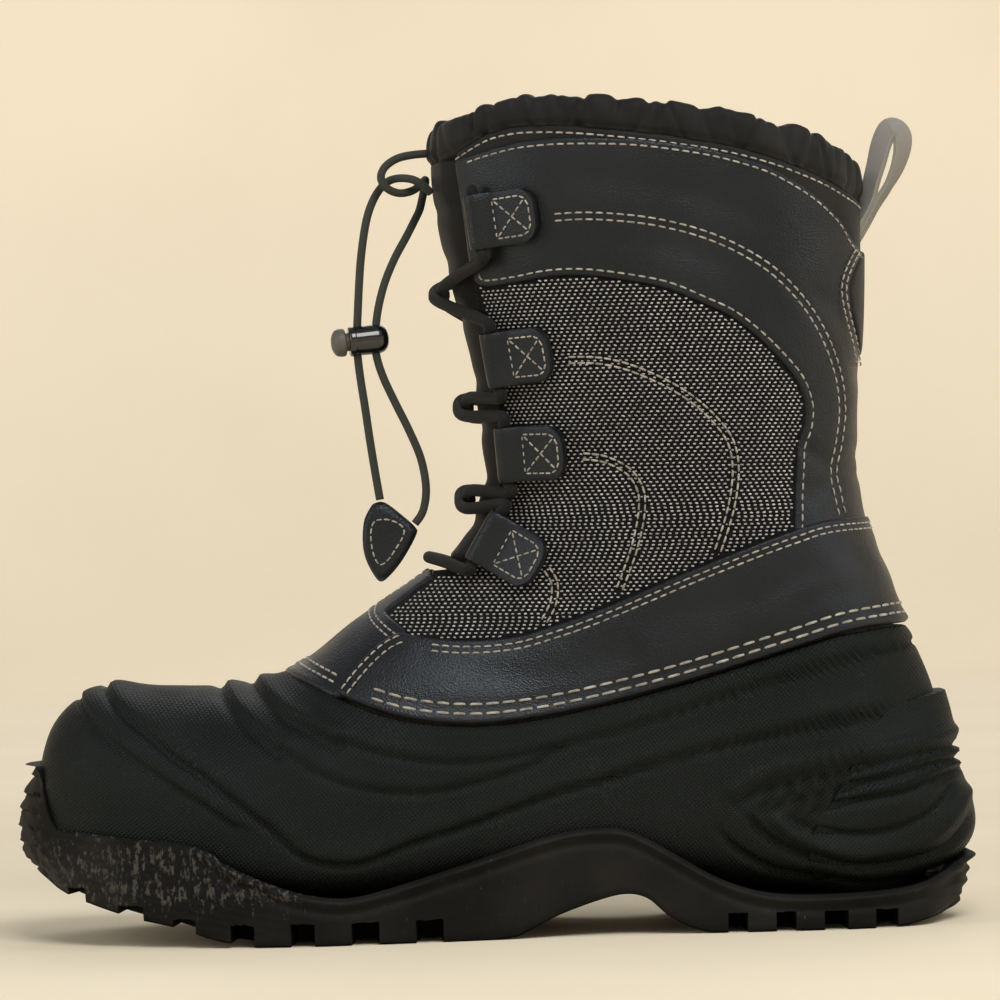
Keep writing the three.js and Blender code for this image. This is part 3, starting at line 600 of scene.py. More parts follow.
def nylon():
    n = Nodes("nylon", (0.008, 0.008, 0.009), 0.58,
              Sheen_Weight=0.05, Sheen_Roughness=0.45, Specular_IOR_Level=0.16)
    weave = n.math("MULTIPLY", *(n.bands(640, None, 0.6, way) for way in "ZX"))
    n.set("Base Color", n.mottle(35, 4, 0.35, 0.7, (0.0055, 0.0055, 0.006), (0.014, 0.014, 0.0145)))
    n.uneven(25, 3, 0.35, 0.65, 0.5, 0.68)
    n.set("Normal", n.bump(n.noise(140, 4), 0.6, 0.5, n.bump(weave, 0.07, 0.6)))
    return n.mat


def braid(name, low, high, across, along):
    n = Nodes(name, high, 0.75, Sheen_Weight=0.04, Specular_IOR_Level=0.2)
    plait = n.plait(along, across, 40)
    n.set("Base Color", n.mix(n.ramp(plait, 0.4, 1.0), low, high))
    n.set("Normal", n.bump(plait, 0.22, 0.8))
    return n.mat


def pile(name, colour, sheen, scale, detail, low, high, depth, strength):
    n = Nodes(name, colour, 0.95, Sheen_Weight=sheen)
    hairs = n.noise(scale, detail)
    n.set("Base Color", n.mix(hairs, low, high))
    n.set("Normal", n.bump(hairs, depth, strength))
    return n.mat


def webbing():
    n = Nodes("webbing", (0.36, 0.34, 0.3), 0.85, Sheen_Weight=0.3)
    herring = n.plait(22, 90, 30)
    n.set("Base Color", n.mix(n.ramp(herring, 0.3, 1), (0.2, 0.185, 0.16), (0.5, 0.48, 0.43)))
    n.set("Normal", n.bump(herring, 0.25, 0.9))
    return n.mat


def plain(name, colour, rough, bump_scale=600, bump=0.05, **values):
    n = Nodes(name, colour, rough, **values)
    n.uneven(200, 3, 0.3, 0.7, rough * 0.85, min(1.0, rough * 1.2))
    n.set("Normal", n.bump(n.noise(bump_scale, 3), bump, 0.5))
    return n.mat


LEATHER, SHELL, SOLE = leather(), shell_rubber(), sole_rubber()
GROUND, YARN, THREAD = fabric_ground(), yarn(), thread()
NYLON, WEBBING = nylon(), webbing()
LINING = pile("lining", (0.09, 0.085, 0.08), 0.4, 900, 4, (0.02, 0.019, 0.018), (0.08, 0.076, 0.07), 0.6, 0.9)
FELT = pile("insole_felt", (0.3, 0.28, 0.25), 0.3, 700, 5, (0.16, 0.15, 0.135), (0.42, 0.4, 0.36), 0.5, 0.8)
LACE = braid("lace_cord", (0.0015, 0.0015, 0.002), (0.01, 0.0105, 0.012), 6, 500)
ELASTIC = braid("elastic_cord", (0.012, 0.014, 0.012), (0.06, 0.066, 0.058), 5, 700)
GLOSS = plain("gloss_black", (0.003, 0.0035, 0.004), 0.16, 300, 0.03, Coat_Weight=0.6, Coat_Roughness=0.08)
GREY = plain("grey_plastic", (0.08, 0.075, 0.066), 0.5)

# ---------------------------------------------------------------------------------------------
# Camera and light
# ---------------------------------------------------------------------------------------------
VIEW_MIDDLE = Vector((3.7 * MM, -10 * MM, 141.5 * MM))
VIEW_WIDTH = 330 * MM
DISTANCE = 1.6
ROLL = math.radians(1.5)

camera_data = bpy.data.cameras.new("camera")
camera_data.sensor_width = 36
camera_data.lens = 36 * DISTANCE / VIEW_WIDTH
camera_data.clip_start = 0.01
camera = bpy.data.objects.new("camera", camera_data)
bpy.context.collection.objects.link(camera)
camera.location = VIEW_MIDDLE + Vector((0, -DISTANCE, 0))
upright = Matrix.Rotation(math.radians(90), 4, "X")
camera.rotation_euler = (upright @ Matrix.Rotation(-ROLL, 4, "Z")).to_euler()
bpy.context.scene.camera = camera


def area_light(name, place, target, size, power, colour=(1, 1, 1)):
    data = bpy.data.lights.new(name, "AREA")
    data.shape = "RECTANGLE"
    data.size, data.size_y = size
    data.energy = power
    data.color = colour
    obj = bpy.data.objects.new(name, data)
    obj.location = place
    obj.rotation_euler = (Vector(target) - Vector(place)).to_track_quat("-Z", "Y").to_euler()
    bpy.context.collection.objects.link(obj)


area_light("key", (0.25, -0.8, 1.05), (0, 0, 0.12), (0.7, 0.6), 10.5, (1.0, 0.98, 0.95))
area_light("left", (-1.1, -0.45, 0.6), (0, 0, 0.13), (0.5, 0.8), 4, (0.94, 0.97, 1.0))
area_light("right", (1.1, -0.2, 0.7), (0, 0, 0.12), (0.4, 0.8), 3)
area_light("back", (0.1, 1.1, 1.0), (0, 0, 0.15), (1.2, 0.6), 4)
world = bpy.data.worlds.new("world")
world.use_nodes = True
background = world.node_tree.nodes["Background"].inputs
background["Color"].default_value = (1.0, 0.965, 0.9, 1)
background["Strength"].default_value = 0.26
bpy.context.scene.world = world
bpy.context.scene.view_settings.view_transform = "Standard"

BOWL_FLAT, BOWL_ROUND, BOWL_TOP = 2300, 600, 1100
BOWL_SPOKES = 120
BOWL_RING = 150
FLOOR_GAP = 0.2


def floor_material():
    """Pale matte floor whose far parts glow a little, so they stay as light as the middle."""
    n = Nodes("floor", (0.8, 0.72, 0.56), 0.85, Specular_IOR_Level=0.2)
    n.set("Base Color", n.mottle(3, 3, 0.3, 0.7, (0.76, 0.68, 0.52), (0.85, 0.77, 0.61)))
    far = n.add("ShaderNodeVectorMath", {0: n.coord}, operation="LENGTH").outputs["Value"]
    n.set("Emission Color", (1.0, 0.9, 0.74))
    n.set("Emission Strength", n.ramp(far, 0.3, 1.7, 0.0, 0.37))
    return n.mat


def build_bowl():
    curve = [(BOWL_FLAT + BOWL_ROUND * math.sin(a), BOWL_ROUND * (1 - math.cos(a)))
             for a in np.linspace(0, math.pi / 2, 14)]
    profile = [(BOWL_RING * k, 0) for k in range(1, 15)] + curve + [(BOWL_FLAT + BOWL_ROUND, BOWL_TOP)]
    around = np.linspace(0, 2 * np.pi, BOWL_SPOKES, endpoint=False)
    rows = [np.column_stack([r * np.cos(around), r * np.sin(around), np.full(BOWL_SPOKES, z - FLOOR_GAP)])
            for r, z in profile]
    faces = quads(len(rows), BOWL_SPOKES, wrap_cols=True) + [list(range(BOWL_SPOKES))[::-1]]
    return np.vstack(rows), faces


floor = make_object("floor", *build_bowl(), floor_material())


# ---------------------------------------------------------------------------------------------
# Small makers: tubes and stitches
# ---------------------------------------------------------------------------------------------
def tube_arrays(path, radius, sides=12):
    path = np.asarray(path, float)
    tangent = unit(np.gradient(path, axis=0))
    normal = np.cross(tangent[0], (0.0, 0.3, 1.0))
    normals = []
    for t in tangent:
        normal = unit(normal - t * (normal @ t))
        normals.append(normal)
    normals = np.array(normals)
    cross = np.cross(tangent, normals)
    angle = np.linspace(0, 2 * np.pi, sides, endpoint=False)
    r = np.broadcast_to(radius, len(path))[:, None, None]
    ring = path[:, None] + r * (np.cos(angle)[None, :, None] * normals[:, None]
                                + np.sin(angle)[None, :, None] * cross[:, None])
    n = len(path)
    faces = quads(n, sides, wrap_cols=True) + row_caps(n, sides)
    uv = np.stack(np.meshgrid(travelled(path) * MM, angle / (2 * np.pi), indexing="ij"), -1).reshape(-1, 2)
    return ring.reshape(-1, 3), faces, uv


def join(parts):
    points, faces, uvs, base = [], [], [], 0
    for part in parts:
        points.append(part[0])
        faces += [[int(v) + base for v in f] for f in part[1]]
        uvs.append(part[2] if len(part) > 2 else np.zeros((len(part[0]), 2)))
        base += len(part[0])
    return np.vstack(points), faces, np.vstack(uvs)


def piece(name, parts, material, slot, *nodes, sharp=None):
    """One object out of several parts, with the angle in degrees above which its edges are sharp."""
    points, faces, uv = join(parts)
    obj = make_object(name, points, faces, material, uv)
    if sharp:
        obj.data.set_sharp_from_angle(angle=math.radians(sharp))
    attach(obj, "root")
    if nodes:
        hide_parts(*nodes)
    return obj


STITCH_SHAPE = np.array([-1, -0.84, -0.45, 0, 0.45, 0.84, 1.0])
STITCH_THICK = np.array([0.35, 0.85, 1.0, 1.0, 1.0, 0.85, 0.35])
STITCH_LIFT = np.array([-0.9, -0.25, 0.25, 0.4, 0.25, -0.25, -0.9])


def stitches_on(p, normal, pitch, radius, cover=0.74):
    travel = travelled(p)
    count = max(1, int(round(travel[-1] / pitch)))
    out = []
    for k in range(count):
        middle = (k + 0.5) * travel[-1] / count
        half = cover * travel[-1] / count / 2 * (1 + 0.06 * math.sin(7.3 * k))
        at = middle + STITCH_SHAPE * half
        q, m = resample(at, travel, p), unit(resample(at, travel, normal))
        out.append(tube_arrays(q + m * (STITCH_LIFT * radius)[:, None], STITCH_THICK * radius, 5))
    return out


def seam(line, off, pitch=3.4, radius=0.32, gaps=(0.0,), cover=0.74):
    """Rows of stitches beside a side-view line, on both sides of the boot."""
    runs = []
    for side in (-1, 1):
        for gap in gaps:
            xz = even(beside(line, gap), 0.6)
            height = off(xz) if callable(off) else np.full(len(xz), float(off))
            p, normal = surface(xz[:, 0], xz[:, 1], side, height)
            runs += stitches_on(p, normal, pitch, radius, cover)
    return runs


def beside(line, gap):
    """The same side-view line moved sideways: up, where it runs towards the heel."""
    p = smooth_line(line, 6)
    t = unit(np.gradient(p, axis=0))
    return p + gap * np.column_stack([-t[:, 1], t[:, 0]])


# ---------------------------------------------------------------------------------------------
# Drawcord, its lock and its tab
# ---------------------------------------------------------------------------------------------
CORD_D = 2.7
CORD_LONG = [
    (-16.6, -8, 243.6), (-19, -9.6, 246), (-22.5, -9.9, 248), (-27.2, -8.2, 248.6), (-31, -5.4, 247.6),
    (-34, -4.6, 244.6), (-36.2, -5.6, 240.6), (-37.9, -7, 235.6), (-39.2, -8.4, 229), (-40.3, -9.4, 221),
    (-41, -10, 213), (-41.5, -10.2, 206), (-41.9, -10.2, 200), (-42.1, -10.2, 195), (-42, -10.1, 190),
    (-41.2, -9.9, 182), (-40, -9.6, 173), (-38.8, -9.3, 163), (-37.3, -9.1, 152), (-35.9, -9, 142.6),
]
CORD_SHORT = [
    (-17.5, -4.4, 256.8), (-22.5, -5.4, 256.4), (-27.4, -7.2, 255.2), (-31.4, -9, 252.4), (-32.8, -10, 248.8),
    (-31, -9.8, 245.4), (-27, -8.2, 243.7), (-22.6, -5.2, 244.6), (-19.6, -1.6, 247), (-18.4, 3, 248.6),
    (-18.6, 7.6, 247.2), (-19.6, 9.6, 243), (-20.6, 7.8, 239), (-22.4, 3.4, 235), (-25.2, -1.4, 229.4),
    (-28.9, -5.6, 222.6), (-32.2, -8.4, 215), (-34.4, -9.8, 207.6), (-35.6, -10.2, 201), (-36, -10.2, 195),
    (-35.7, -10.1, 189.6), (-33.6, -9.8, 182.6), (-29.8, -9.4, 174), (-25.6, -9.2, 165), (-22, -9, 155.6),
    (-20.6, -9, 146), (-21.8, -9, 138.6), (-24.6, -9, 134.4),
]
LOCK = {"x": -39, "y": -10.2, "z": 195.4, "radius": 5, "front": -5.9, "back": 7.6, "tilt": 5, "turn": 8}


def lathe_arrays(profile, sides=48):
    """Turned about the lock's axis; profile rows are radius, place along the axis."""
    profile = smooth_line(profile, 4)
    angle = np.linspace(0, 2 * np.pi, sides, endpoint=False)
    r, a = profile[:, 0].clip(0.01), profile[:, 1]
    points = np.stack([
        np.repeat(a[:, None], sides, 1), r[:, None] * np.cos(angle), r[:, None] * np.sin(angle),
    ], -1).reshape(-1, 3)
    tilt = Matrix.Rotation(math.radians(-LOCK["tilt"]), 3, "Y")
    turn = Matrix.Rotation(math.radians(LOCK["turn"]), 3, "Z")
    points = points @ np.array(tilt @ turn).T + (LOCK["x"], LOCK["y"], LOCK["z"])
    return points, quads(len(profile), sides, wrap_cols=True) + row_caps(len(profile), sides)


r, front, back = LOCK["radius"], LOCK["front"], LOCK["back"]
lock_body = piece("lock_body", [lathe_arrays([
    (0.4, front), (r - 1, front), (r - 0.3, front + 0.15), (r, front + 0.7), (r, front + 2),
    (r * 0.97, front + 3), (r, back - 5), (r * 0.97, back - 3.4), (r * 0.85, back - 1.8),
    (r * 0.55, back - 0.6), (0.4, back),
])], GLOSS, "gloss_black", "cord_lock_body")
lock_plunger = piece("lock_plunger", [lathe_arrays([
    (0.4, front - 5.9), (r * 0.45, front - 5.6), (r * 0.8, front - 4.6), (r * 0.92, front - 3.2),
    (r * 0.91, front - 1.6), (r * 0.8, front - 1.1), (r * 0.6, front - 0.8), (r * 0.6, front + 1),
    (0.4, front + 1),
])], GREY, "grey_plastic", "cord_lock_plunger")

TAB_OUTLINE = [
    (-37.6, 141.6), (-34.2, 141.6), (-29, 137.6), (-24.6, 133.4), (-24.2, 130.8), (-28.8, 122.8),
    (-33.4, 117.4), (-36.4, 115.6), (-38.8, 118.2), (-41.2, 123.4), (-42, 129), (-41.4, 135.6),
    (-39.4, 139.8),
]
TAB_Y = -9
TAB_THICK = 3.6


def pad_arrays(ring, y, thick, rows=10):
    """A flat leather shape with a soft edge, from a side-view outline."""
    middle = ring.mean(0)
    shrink = np.concatenate([np.linspace(0, 1, rows), np.linspace(1, 0, rows)])
    points = []
    for k, s in enumerate(shrink):
        face = -1 if k < rows else 1
        h = thick / 2 * (1 - max(0.0, s) ** 8) ** 0.5
        xz = middle + (ring - middle) * max(s, 0.02)
        points.append(np.column_stack([xz[:, 0], np.full(len(xz), y + face * h), xz[:, 1]]))
    n = len(ring)
    return np.vstack(points), quads(2 * rows, n, wrap_cols=True) + row_caps(2 * rows, n)


tab_ring = smooth_line(TAB_OUTLINE, 5, closed=True)
tab = piece("tab_leather", [pad_arrays(tab_ring, TAB_Y, TAB_THICK)], LEATHER, "black_leather", "pull_tab")
TAB_STITCH = [
    (-37.6, 135.8), (-33.6, 136), (-29.4, 134.2), (-28.2, 131.4), (-31, 126.4), (-34, 122.4), (-36.6, 121.2),
    (-38.4, 124.4), (-39.2, 129.6), (-38.8, 133.8), (-37.6, 135.8),
]
tab_runs = []
for face in (-1, 1):
    xz = even(smooth_line(TAB_STITCH, 5), 0.5)
    at = np.column_stack([xz[:, 0], np.full(len(xz), TAB_Y + face * TAB_THICK / 2), xz[:, 1]])
    tab_runs += stitches_on(at, np.tile((0.0, face, 0.0), (len(at), 1)), 2.6, 0.28)
tab_thread = piece("tab_stitches", tab_runs, THREAD, "webbing")


def free_cord(name, route, node):
    path = even(smooth_line(route, 8), 0.8)
    obj = piece(name, [tube_arrays(path, CORD_D / 2, 14)], ELASTIC, "elastic_cord", node)


free_cord("cord_outer_run", CORD_LONG, "drawcord_long")
free_cord("cord_inner_run", CORD_SHORT, "drawcord_short")

# ---------------------------------------------------------------------------------------------
# Outsole
# ---------------------------------------------------------------------------------------------
BEAD = [
    (-146, 38), (-120, 35.3), (-97, 32.6), (-88, 27), (-80, 23), (-70, 19), (-60, 16.2), (-49, 15.1),
    (-38, 17), (-22, 21.4), (-6, 26), (10, 31), (22, 33.9), (32, 34.9), (41, 34.2), (50, 30), (60, 24),
    (70, 18.2), (80, 14.2), (91, 11.9), (106, 11.4), (127, 12.2), (138, 13.8), (148, 17.6), (162, 24.4),
]
SOLE_PLAN = [
    (-159.2, 1, 11), (-157.4, -7, 19), (-152, -18.6, 30.6), (-142, -29, 40), (-128, -39.5, 47.5),
    (-110, -47.5, 53), (-87, -54.5, 55), (-60, -57, 52.5), (-30, -54, 46), (0, -49, 41.5), (30, -45.5, 39),
    (60, -44.5, 40), (90, -45, 42), (118, -43.5, 41.5), (138, -35.5, 34.5), (151, -21, 20.5), (156.6, -6, 6),
]
SOLE_UNDER = [
    (-160, 23.6), (-153.9, 23.6), (-143.5, 18), (-133, 14), (-118, 9.4), (-104, 6.4), (-92, 2.6), (-80, 0.4),
    (-74, 0), (-37, 0), (0, 0), (9.5, 2.6), (19, 7), (32, 11.4), (41, 13.2), (48, 11.6), (55, 5.6), (63, 1.6),
    (71, 0), (98, 0), (126, 0), (138, 1.6), (152.5, 4.7), (158, 9),
]
TOE_FRONT = [(20, -153.2), (23.6, -153.9), (30, -158.8), (42, -159.2), (51, -156.4), (58, -152.5)]
HEEL_BACK = [(0, 148), (4.7, 152.5), (9, 154.6), (14.5, 156.2), (20, 157.4), (26, 157.6)]
GROOVES = [
    (-132, 6, 5, 13.6), (-112, 7, 5, 8), (-93, 7, 6, 2.8), (-74, 7, 7, 0), (-54, 7, 7, 0), (-34, 7, 7, 0),
    (-14, 7, 7, 0), (84, 6, 6, 0), (100, 6, 6, 0), (116, 6, 6, 0), (132, 6, 5, 0.8),
]
GROOVE_REACH = 22
GROOVE_SKEW = 0.159
SOLE_PITCH = 1.3
UNDER_ROWS, WALL_ROWS = 27, 42
BUMPER_TOP = 58
BUMPER_RISE = (-143.5, -153.5)
TOOTH = 5.4
UNDER = smooth_line(SOLE_UNDER, 6)
BEAD_LINE = smooth_line(BEAD, 4)


def groove_at(x, y):
    """Depth and ground of the tread groove over a place, or zero depth."""
    depth, floor_z = np.zeros(x.shape), np.zeros(x.shape)
    for at, width, deep, low in GROOVES:
        hit = np.abs(x + GROOVE_SKEW * np.abs(y) - at) < width / 2
        depth, floor_z = np.where(hit, deep, depth), np.where(hit, low, floor_z)
    return depth, floor_z


def end_inset(x, z):
    """How far the round of the toe and of the heel lies inside the plan, at a height."""
    toe = np.interp(z, *np.array(TOE_FRONT).T) - TOE_FRONT[3][1]
    heel = HEEL_BACK[-1][1] - np.interp(z, *np.array(HEEL_BACK).T)
    return step(-139, -153, x) * toe + step(138, 152, x) * heel


def build_outsole():
    outer = [(x, a) for x, a, b in SOLE_PLAN]
    inner = [(x, b) for x, a, b in SOLE_PLAN][::-1]
    ring = even(smooth_line(outer + inner, 12, closed=True), SOLE_PITCH)
    n = len(ring)
    x, y = ring.T
    middle = np.clip(x, -138, 140)
    centre = np.column_stack([middle, np.interp(middle, [-138, 0, 140], [6, -3, 0])])
    spoke = unit(centre - ring)
    reach = np.linalg.norm(centre - ring, axis=1)
    low = height_on(UNDER, x)
    bead = height_on(BEAD_LINE, x)
    top = bead + (BUMPER_TOP - bead) * step(*BUMPER_RISE, x)
    depth, floor_z = groove_at(x, y)

    def at(inset, z):
        place = ring + spoke * np.minimum(inset, reach)[:, None]
        return np.column_stack([place, np.broadcast_to(z, n)])

    rows = []
    start = np.where(depth > 0, GROOVE_REACH, 0.9 + end_inset(x, low))
    for t in np.linspace(1, 0, UNDER_ROWS):
        inset = start + (reach - start) * t
        place = ring + spoke * np.minimum(inset, reach)[:, None]
        z = height_on(UNDER, place[:, 0])
        bars = np.abs((place[:, 0] + 8 * np.abs(np.sin(place[:, 1] / 11))) % 19 - 9.5) < 2.6
        flat = (place[:, 0] < -8) | (place[:, 0] > 76)
        side_d, _ = groove_at(place[:, 0], place[:, 1])
        outside = inset < GROOVE_REACH
        z = z + np.where(bars & flat & (t > 0.02) & ~outside, 3.2, 0) + np.where(outside, side_d, 0)
        rows.append(np.column_stack([place, z]))
    for v in np.linspace(0, 1, WALL_ROWS):
        z = low + (top - low) * v
        up, down = z - low, top - z
        inset = 1.4 * (1 - np.clip(up / 2.4, 0, 1)) ** 2 + 1.3 * (1 - np.clip(down / 1.5, 0, 1)) ** 2
        lip = step(-104, -88, x)
        inset = inset - lip * 0.9 * bell(down - 1.9, 1.1)
        inset = inset + lip * 0.8 * bell(down - 4.9, 1.4)
        inset = inset + end_inset(x, z)
        teeth = step(-149.5, -152, x) * step(25, 28, z) * step(BUMPER_TOP, BUMPER_TOP - 3, z)
        inset = inset + teeth * 1.5 * ((z / TOOTH) % 1.0)
        ribs = step(138, 152, x) * step(5, 8, z) * 0.5 * np.sin(z * 1.5 + x * 0.2)
        rough = 0.22 * np.sin(x * 0.9 + z * 1.7) * np.sin(x * 0.37 - z * 0.8) * step(-60, -90, x)
        notch = (depth > 0) & (z < floor_z + depth)
        rows.append(at(np.where(notch, GROOVE_REACH, inset + ribs + rough), z))
    inside_z = np.minimum(top - 1.0, np.maximum(low + 6, 14))
    rows.append(at(np.full(n, 3.0), top - 0.15))
    rows.append(at(np.full(n, 8.0), top - 0.8))
    rows.append(at(np.full(n, 10.0), inside_z))
    rows.append(at(reach, inside_z))
    return np.vstack(rows), quads(len(rows), n, wrap_rows=True, wrap_cols=True)


piece("outsole_lugged", [build_outsole()], SOLE, "sole_rubber", "outsole", sharp=38)


def above(xz, line, dz=0.0):
    return height_on(line, xz[:, 0]) + dz - xz[:, 1]


def behind_throat(xz):
    """Negative behind the throat's edge or below it."""
    edge = smooth_line([(-60, 118.8), *THROAT, (-8, 300)], 4)
    return -ring_distance(xz, np.vstack([edge, [(-90, 300), (-90, 118.8)]]))


# ---------------------------------------------------------------------------------------------
# Rubber shell and heel counter
# ---------------------------------------------------------------------------------------------
FLEX_1 = [(-50, 65.5), (-42.4, 62.1), (-31, 59.2), (-20, 57.2), (-8, 56.8), (4, 57.9), (18, 60.4),
          (38.5, 65), (59, 70.6), (80, 77.3), (98, 82.3), (113, 86.4), (128, 89.4), (150, 92)]
FLEX_2 = [(-68.8, 63.2), (-62.7, 58.1), (-54, 53.2), (-43, 49.5), (-29, 47.5), (-16, 48.2), (1.4, 52),
          (12, 55.5), (22, 61)]
FLEX_3 = [(-129.3, 86), (-122, 76.5), (-112, 69), (-103, 61.5), (-95, 56.5), (-87, 50.3), (-79.8, 44.5),
          (-71, 37.5), (-62, 29.5), (-50.5, 26.5), (-41, 27.8), (-27.3, 32.8), (-12, 37), (1, 41.2),
          (18, 46.8), (33, 50.5), (49, 55), (66, 59.4), (86, 63.4), (102, 66.7), (124, 70.4)]
FLEX_4 = [(-137.6, 82), (-130, 73), (-121.5, 65.3), (-112, 58.5), (-101.5, 51.3), (-93, 46), (-84, 39.6)]
FLEX_5 = [(-90.6, 86), (-84.5, 77.5), (-79, 71.8), (-73, 66.8), (-68.8, 63.2)]
FLEX_6 = [(-79.4, 86), (-72, 79), (-66, 74), (-59.7, 70.9), (-50, 65.5)]
HEEL_GROOVES = [
    [(150, 56.6), (135.5, 54.2), (118.6, 51.6), (101.7, 48.2), (88.1, 45.4), (81.3, 43.2), (77.2, 40.6)],
    [(150, 52.4), (139.6, 50.6), (122.7, 47.6), (105.7, 43.8), (93, 40.6), (86.6, 37.6)],
    [(148, 48), (131, 43.8), (114.1, 40.6), (101.4, 37.9), (94.6, 35)],
    [(97, 33.6), (106, 31.4), (116, 30.8), (128, 32.6), (139, 37), (145.4, 43)],
    [(82.4, 35.6), (87.4, 30), (94.8, 25.2), (104, 22.3), (116, 21.3), (131, 22.6), (143, 26), (151, 33)],
    [(70.4, 33.4), (76, 27.6), (83, 22.4), (91.5, 18.4), (103, 16.4), (119, 16.2), (136, 17.6), (150, 22)],
]
HEEL_RIDGES = [
    ([(76.6, 44.8), (81.4, 47.6), (88.3, 51.4), (101.8, 54), (118.7, 56.8), (147.4, 61)], 1.1, 1.9),
    ([(80.8, 39.4), (84.6, 41.6), (93, 44.4), (105, 47), (120, 50), (138, 53), (150, 55)], 0.8, 1.2),
    ([(90.6, 36.8), (97, 39), (107, 41.6), (120, 44.6), (134, 47.4), (148, 50.4)], 0.8, 1.1),
    ([(88.7, 36.4), (94.5, 31.6), (102.8, 27.4), (113.7, 25.4), (126.4, 26.8), (139.1, 30.2), (150.3, 40)],
     1.3, 2.1),
]


def signed_distance(points, line):
    """Distance to a line, above zero on its upper or heel side."""
    best, sign = np.full(len(points), 1e9), np.ones(len(points))
    for a, b in zip(line[:-1], line[1:]):
        ab = b - a
        rel = points - a
        t = np.clip(rel @ ab / (ab @ ab), 0, 1)
        d = np.hypot(*(rel - t[:, None] * ab).T)
        near = d < best
        best = np.where(near, d, best)
        sign = np.where(near, np.sign(ab[0] * rel[:, 1] - ab[1] * rel[:, 0]), sign)
    return best * sign


def fold(xz, line, height, front_width, back_width):
    d = signed_distance(xz, smooth_line(line, 4))
    return height * bell(d, np.where(d < 0, front_width, back_width))


def heel_ribs(xz):
    total = np.zeros(len(xz))
    for line in HEEL_GROOVES:
        total -= fold(xz, line, 2.3, 1.15, 1.15)
    for line, height, width in HEEL_RIDGES:
        total += fold(xz, line, 1.3 * height, width, width)
    return total


def shell_relief(xz, p):
    total = trough(xz, FLEX_1, 1.2, 0.8) + fold(xz, beside(FLEX_1, 2.2), 0.5, 1.2, 3.5)
    total += trough(xz, FLEX_2, 1.1, 0.9) + fold(xz, beside(FLEX_2, 2.4), 0.5, 1.2, 3.5)
    total += trough(xz, beside(FLEX_3, -1.5), 1.5, 1.0) + fold(xz, beside(FLEX_3, 1.0), 1.1, 1.1, 5.0)
    total += trough(xz, beside(FLEX_4, -1.6), 1.0, 1.2) + fold(xz, beside(FLEX_4, 0.6), 1.1, 1.1, 4.5)
    for line in (FLEX_5, FLEX_6):
        total += trough(xz, beside(line, -2.4), 1.3, 1.9) + fold(xz, line, 1.5, 1.1, 3.4)
    total += trough(xz, raised(SHELL_TOP, -1.6), 0.5, 0.8)
    return total + heel_ribs(xz) * step(68, 78, xz[:, 0])


def shell_region(xz, p):
    return np.maximum(-above(xz, SHELL_TOP, -0.3), above(xz, BEAD, -5))


COUNTER = [(104, 10), (101, 24), (104, 34), (112, 46), (119, 58), (126, 68), (132, 72), (151, 75.8)]
COUNTER_RING = np.vstack([smooth_line(COUNTER, 5), [(190, 76), (190, 10)]])
COUNTER_FRONT = smooth_line(COUNTER[:7], 5)


def counter_top(xz, p):
    away = signed_distance(xz, COUNTER_FRONT)
    return 0.5 + 4.2 * step(0, 17, -away)


shell = panel("shell_foot", shell_region, SHELL, 0.4, -3.2, "shell_rubber", relief=shell_relief, pitch=1.45,
              places=(0, 18), edge=0.8, levels=(-0.8, -0.3))
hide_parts("rubber_shell")
counter = panel(
    "heel_counter_ribbed",
    lambda xz, p: np.maximum(ring_distance(xz, COUNTER_RING), above(xz, BEAD, -1.5)),
    SHELL, counter_top, 0.0, "shell_rubber", relief=lambda xz, p: heel_ribs(xz), pitch=1.05, places=(10, 17),
    turns=(1.2, WHOLE_TURN - 1.2), edge=0.9, levels=(-0.9, -0.35),
)
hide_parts("heel_counter")

# ---------------------------------------------------------------------------------------------
# Upper: woven sides, leather, bands and lining
# ---------------------------------------------------------------------------------------------
FABRIC_RING = np.vstack([
    smooth_line(FABRIC_BACK, 5), [(60, 95), (0, 80), (-22, 86)], smooth_line(FABRIC_TIP, 5),
    [(-30, 126), (-40, 170), (-30, 219.4)],
])
VAMP_RING = np.vstack([
    smooth_line(VAMP_EDGE, 5), smooth_line(FABRIC_TIP, 5)[1:], [(-20, 140), (-80, 130), (-70, 89)],
])
MUDGUARD_RING = np.vstack([
    smooth_line(VAMP_EDGE[2:], 5), smooth_line(MUDGUARD_TOP, 4), [(190, 133), (190, 97.9)],
    smooth_line(raised(SHELL_TOP[3:], 0.1), 4)[::-1],
])
BACK_STRIP = [(128, 224), (123.6, 219.4), (121, 215), (118.9, 210), (118.6, 205.4), (119.8, 199), (122, 191),
              (123.6, 183)]
BACK_STRIP_RING = np.vstack([smooth_line(BACK_STRIP, 5), [(170, 183), (170, 224)]])


def fabric_region(xz, p):
    return np.maximum.reduce([
        ring_distance(xz, FABRIC_RING) - 1.5, behind_throat(xz), above(xz, MUDGUARD_TOP, -5),
    ])


def leather_region(xz, p):
    return np.maximum.reduce([
        -(ring_distance(xz, FABRIC_RING) + 2.4), behind_throat(xz), above(xz, MUDGUARD_TOP, -3),
        -above(xz, LEATHER_TOP, 2.4), -20 - xz[:, 0],
    ])


def vamp_region(xz, p):
    return np.maximum.reduce([ring_distance(xz, VAMP_RING) - 2.4, behind_throat(xz), xz[:, 0] + 18.5])


def band_region(xz, p):
    return np.maximum.reduce([behind_throat(xz), above(xz, LEATHER_TOP, -1.0), -above(xz, COLLAR_SEAM, 0.8)])


def lining_region(xz, p):
    return np.maximum.reduce([behind_throat(xz), -above(xz, COLLAR_SEAM, 0.4), 17 - xz[:, 1]])


def foot_or_shaft(foot_value, shaft_value):
    def value(xz, p):
        over_shell = xz[:, 1] - height_on(SHELL_TOP, xz[:, 0])
        return foot_value + (shaft_value - foot_value) * step(0, 22, over_shell)
    return value


